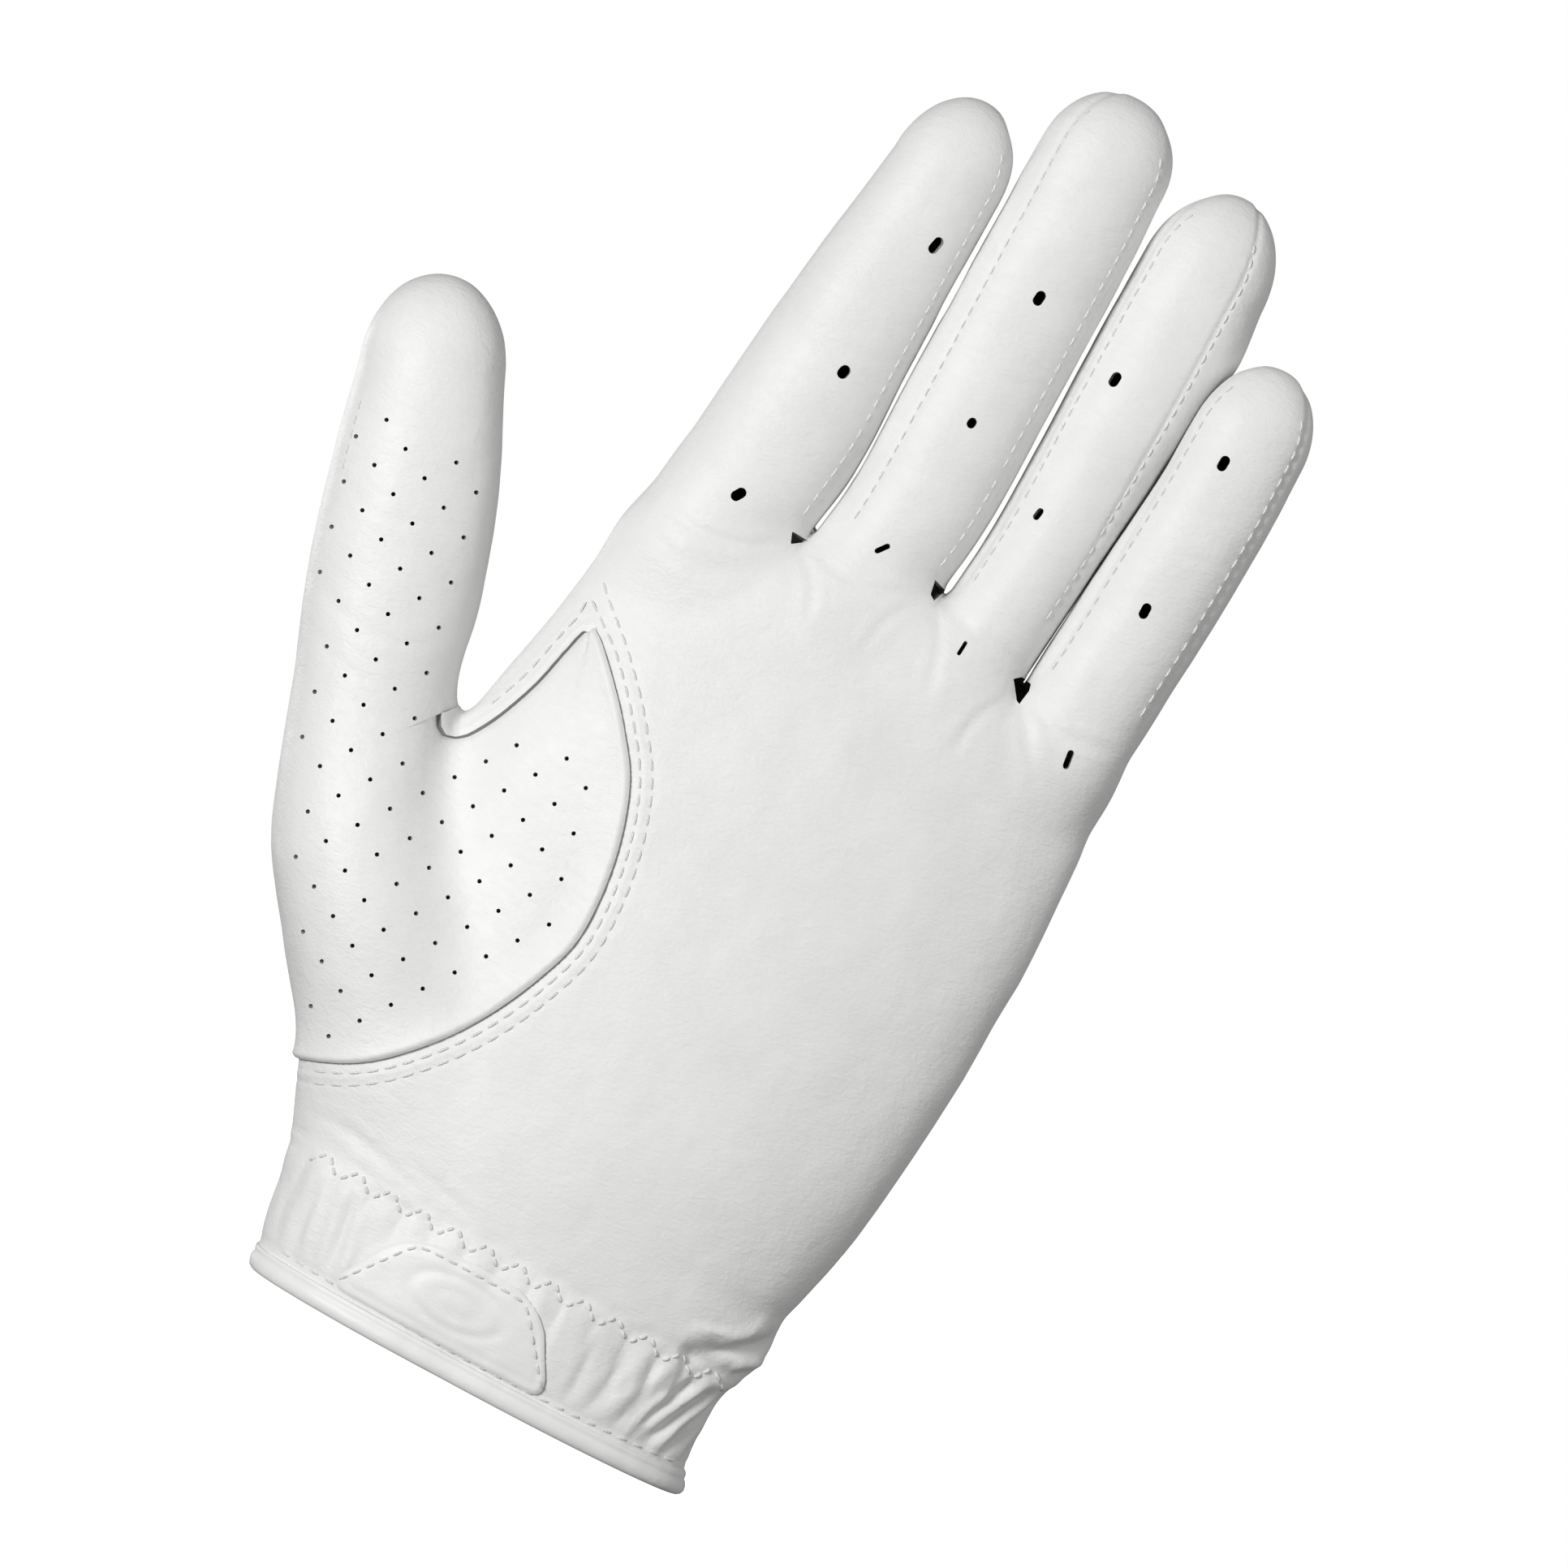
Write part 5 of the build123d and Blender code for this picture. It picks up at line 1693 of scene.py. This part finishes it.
world = bpy.data.worlds.new("studio")
bpy.context.scene.world = world
world.use_nodes = True
wn, wl = world.node_tree.nodes, world.node_tree.links
background = wn["Background"]
seen = wn.new("ShaderNodeBackground")
seen.inputs["Color"].default_value = (1, 1, 1, 1)
seen.inputs["Strength"].default_value = 1.0
background.inputs["Color"].default_value = (1, 1, 1, 1)
background.inputs["Strength"].default_value = 0.16
path = wn.new("ShaderNodeLightPath")
mix = wn.new("ShaderNodeMixShader")
wl.new(path.outputs["Is Camera Ray"], mix.inputs["Fac"])
wl.new(background.outputs["Background"], mix.inputs[1])
wl.new(seen.outputs["Background"], mix.inputs[2])
wl.new(mix.outputs["Shader"], wn["World Output"].inputs["Surface"])

# the camera: right, up and backwards of the picture, the point it looks at, and its lens
RIGHT = np.array((0.8813, 0.0, 0.4726))
UP = np.array((-0.4726, 0.0, 0.8813))
BACK = np.array((0.0, -1.0, 0.0))
AIM = np.array((-0.14, 0.0, 101.66)) * MM
FRAME_WIDTH = 0.2357
SENSOR = 36.0
LENS = 183.0


def area_light(name, side, up, back, size, watts):
    """Round soft light, placed in the picture's own directions and aimed at the glove."""
    data = bpy.data.lights.new(name, "AREA")
    data.shape = "DISK"
    data.size = size
    data.energy = watts
    light = bpy.data.objects.new(name, data)
    place = AIM + RIGHT * side + UP * up + BACK * back
    light.location = place
    light.rotation_euler = Vector(AIM - place).to_track_quat("-Z", "Y").to_euler()
    bpy.context.scene.collection.objects.link(light)


area_light("key", -0.6, 0.42, 1.13, 0.42, 14.4)
area_light("fill", 0.95, 0.1, 0.45, 0.8, 2.8)
area_light("back_key", -1.0, 0.2, -1.2, 0.6, 12.0)

camera_data = bpy.data.cameras.new("camera")
camera_data.sensor_width = SENSOR
camera_data.lens = LENS
camera = bpy.data.objects.new("camera", camera_data)
distance = FRAME_WIDTH * LENS / SENSOR
camera.matrix_world = Matrix.Translation(Vector(AIM + BACK * distance)) @ Matrix(
    (RIGHT, UP, BACK)).transposed().to_4x4()
bpy.context.scene.collection.objects.link(camera)
bpy.context.scene.camera = camera
bpy.context.scene.view_settings.view_transform = "Standard"
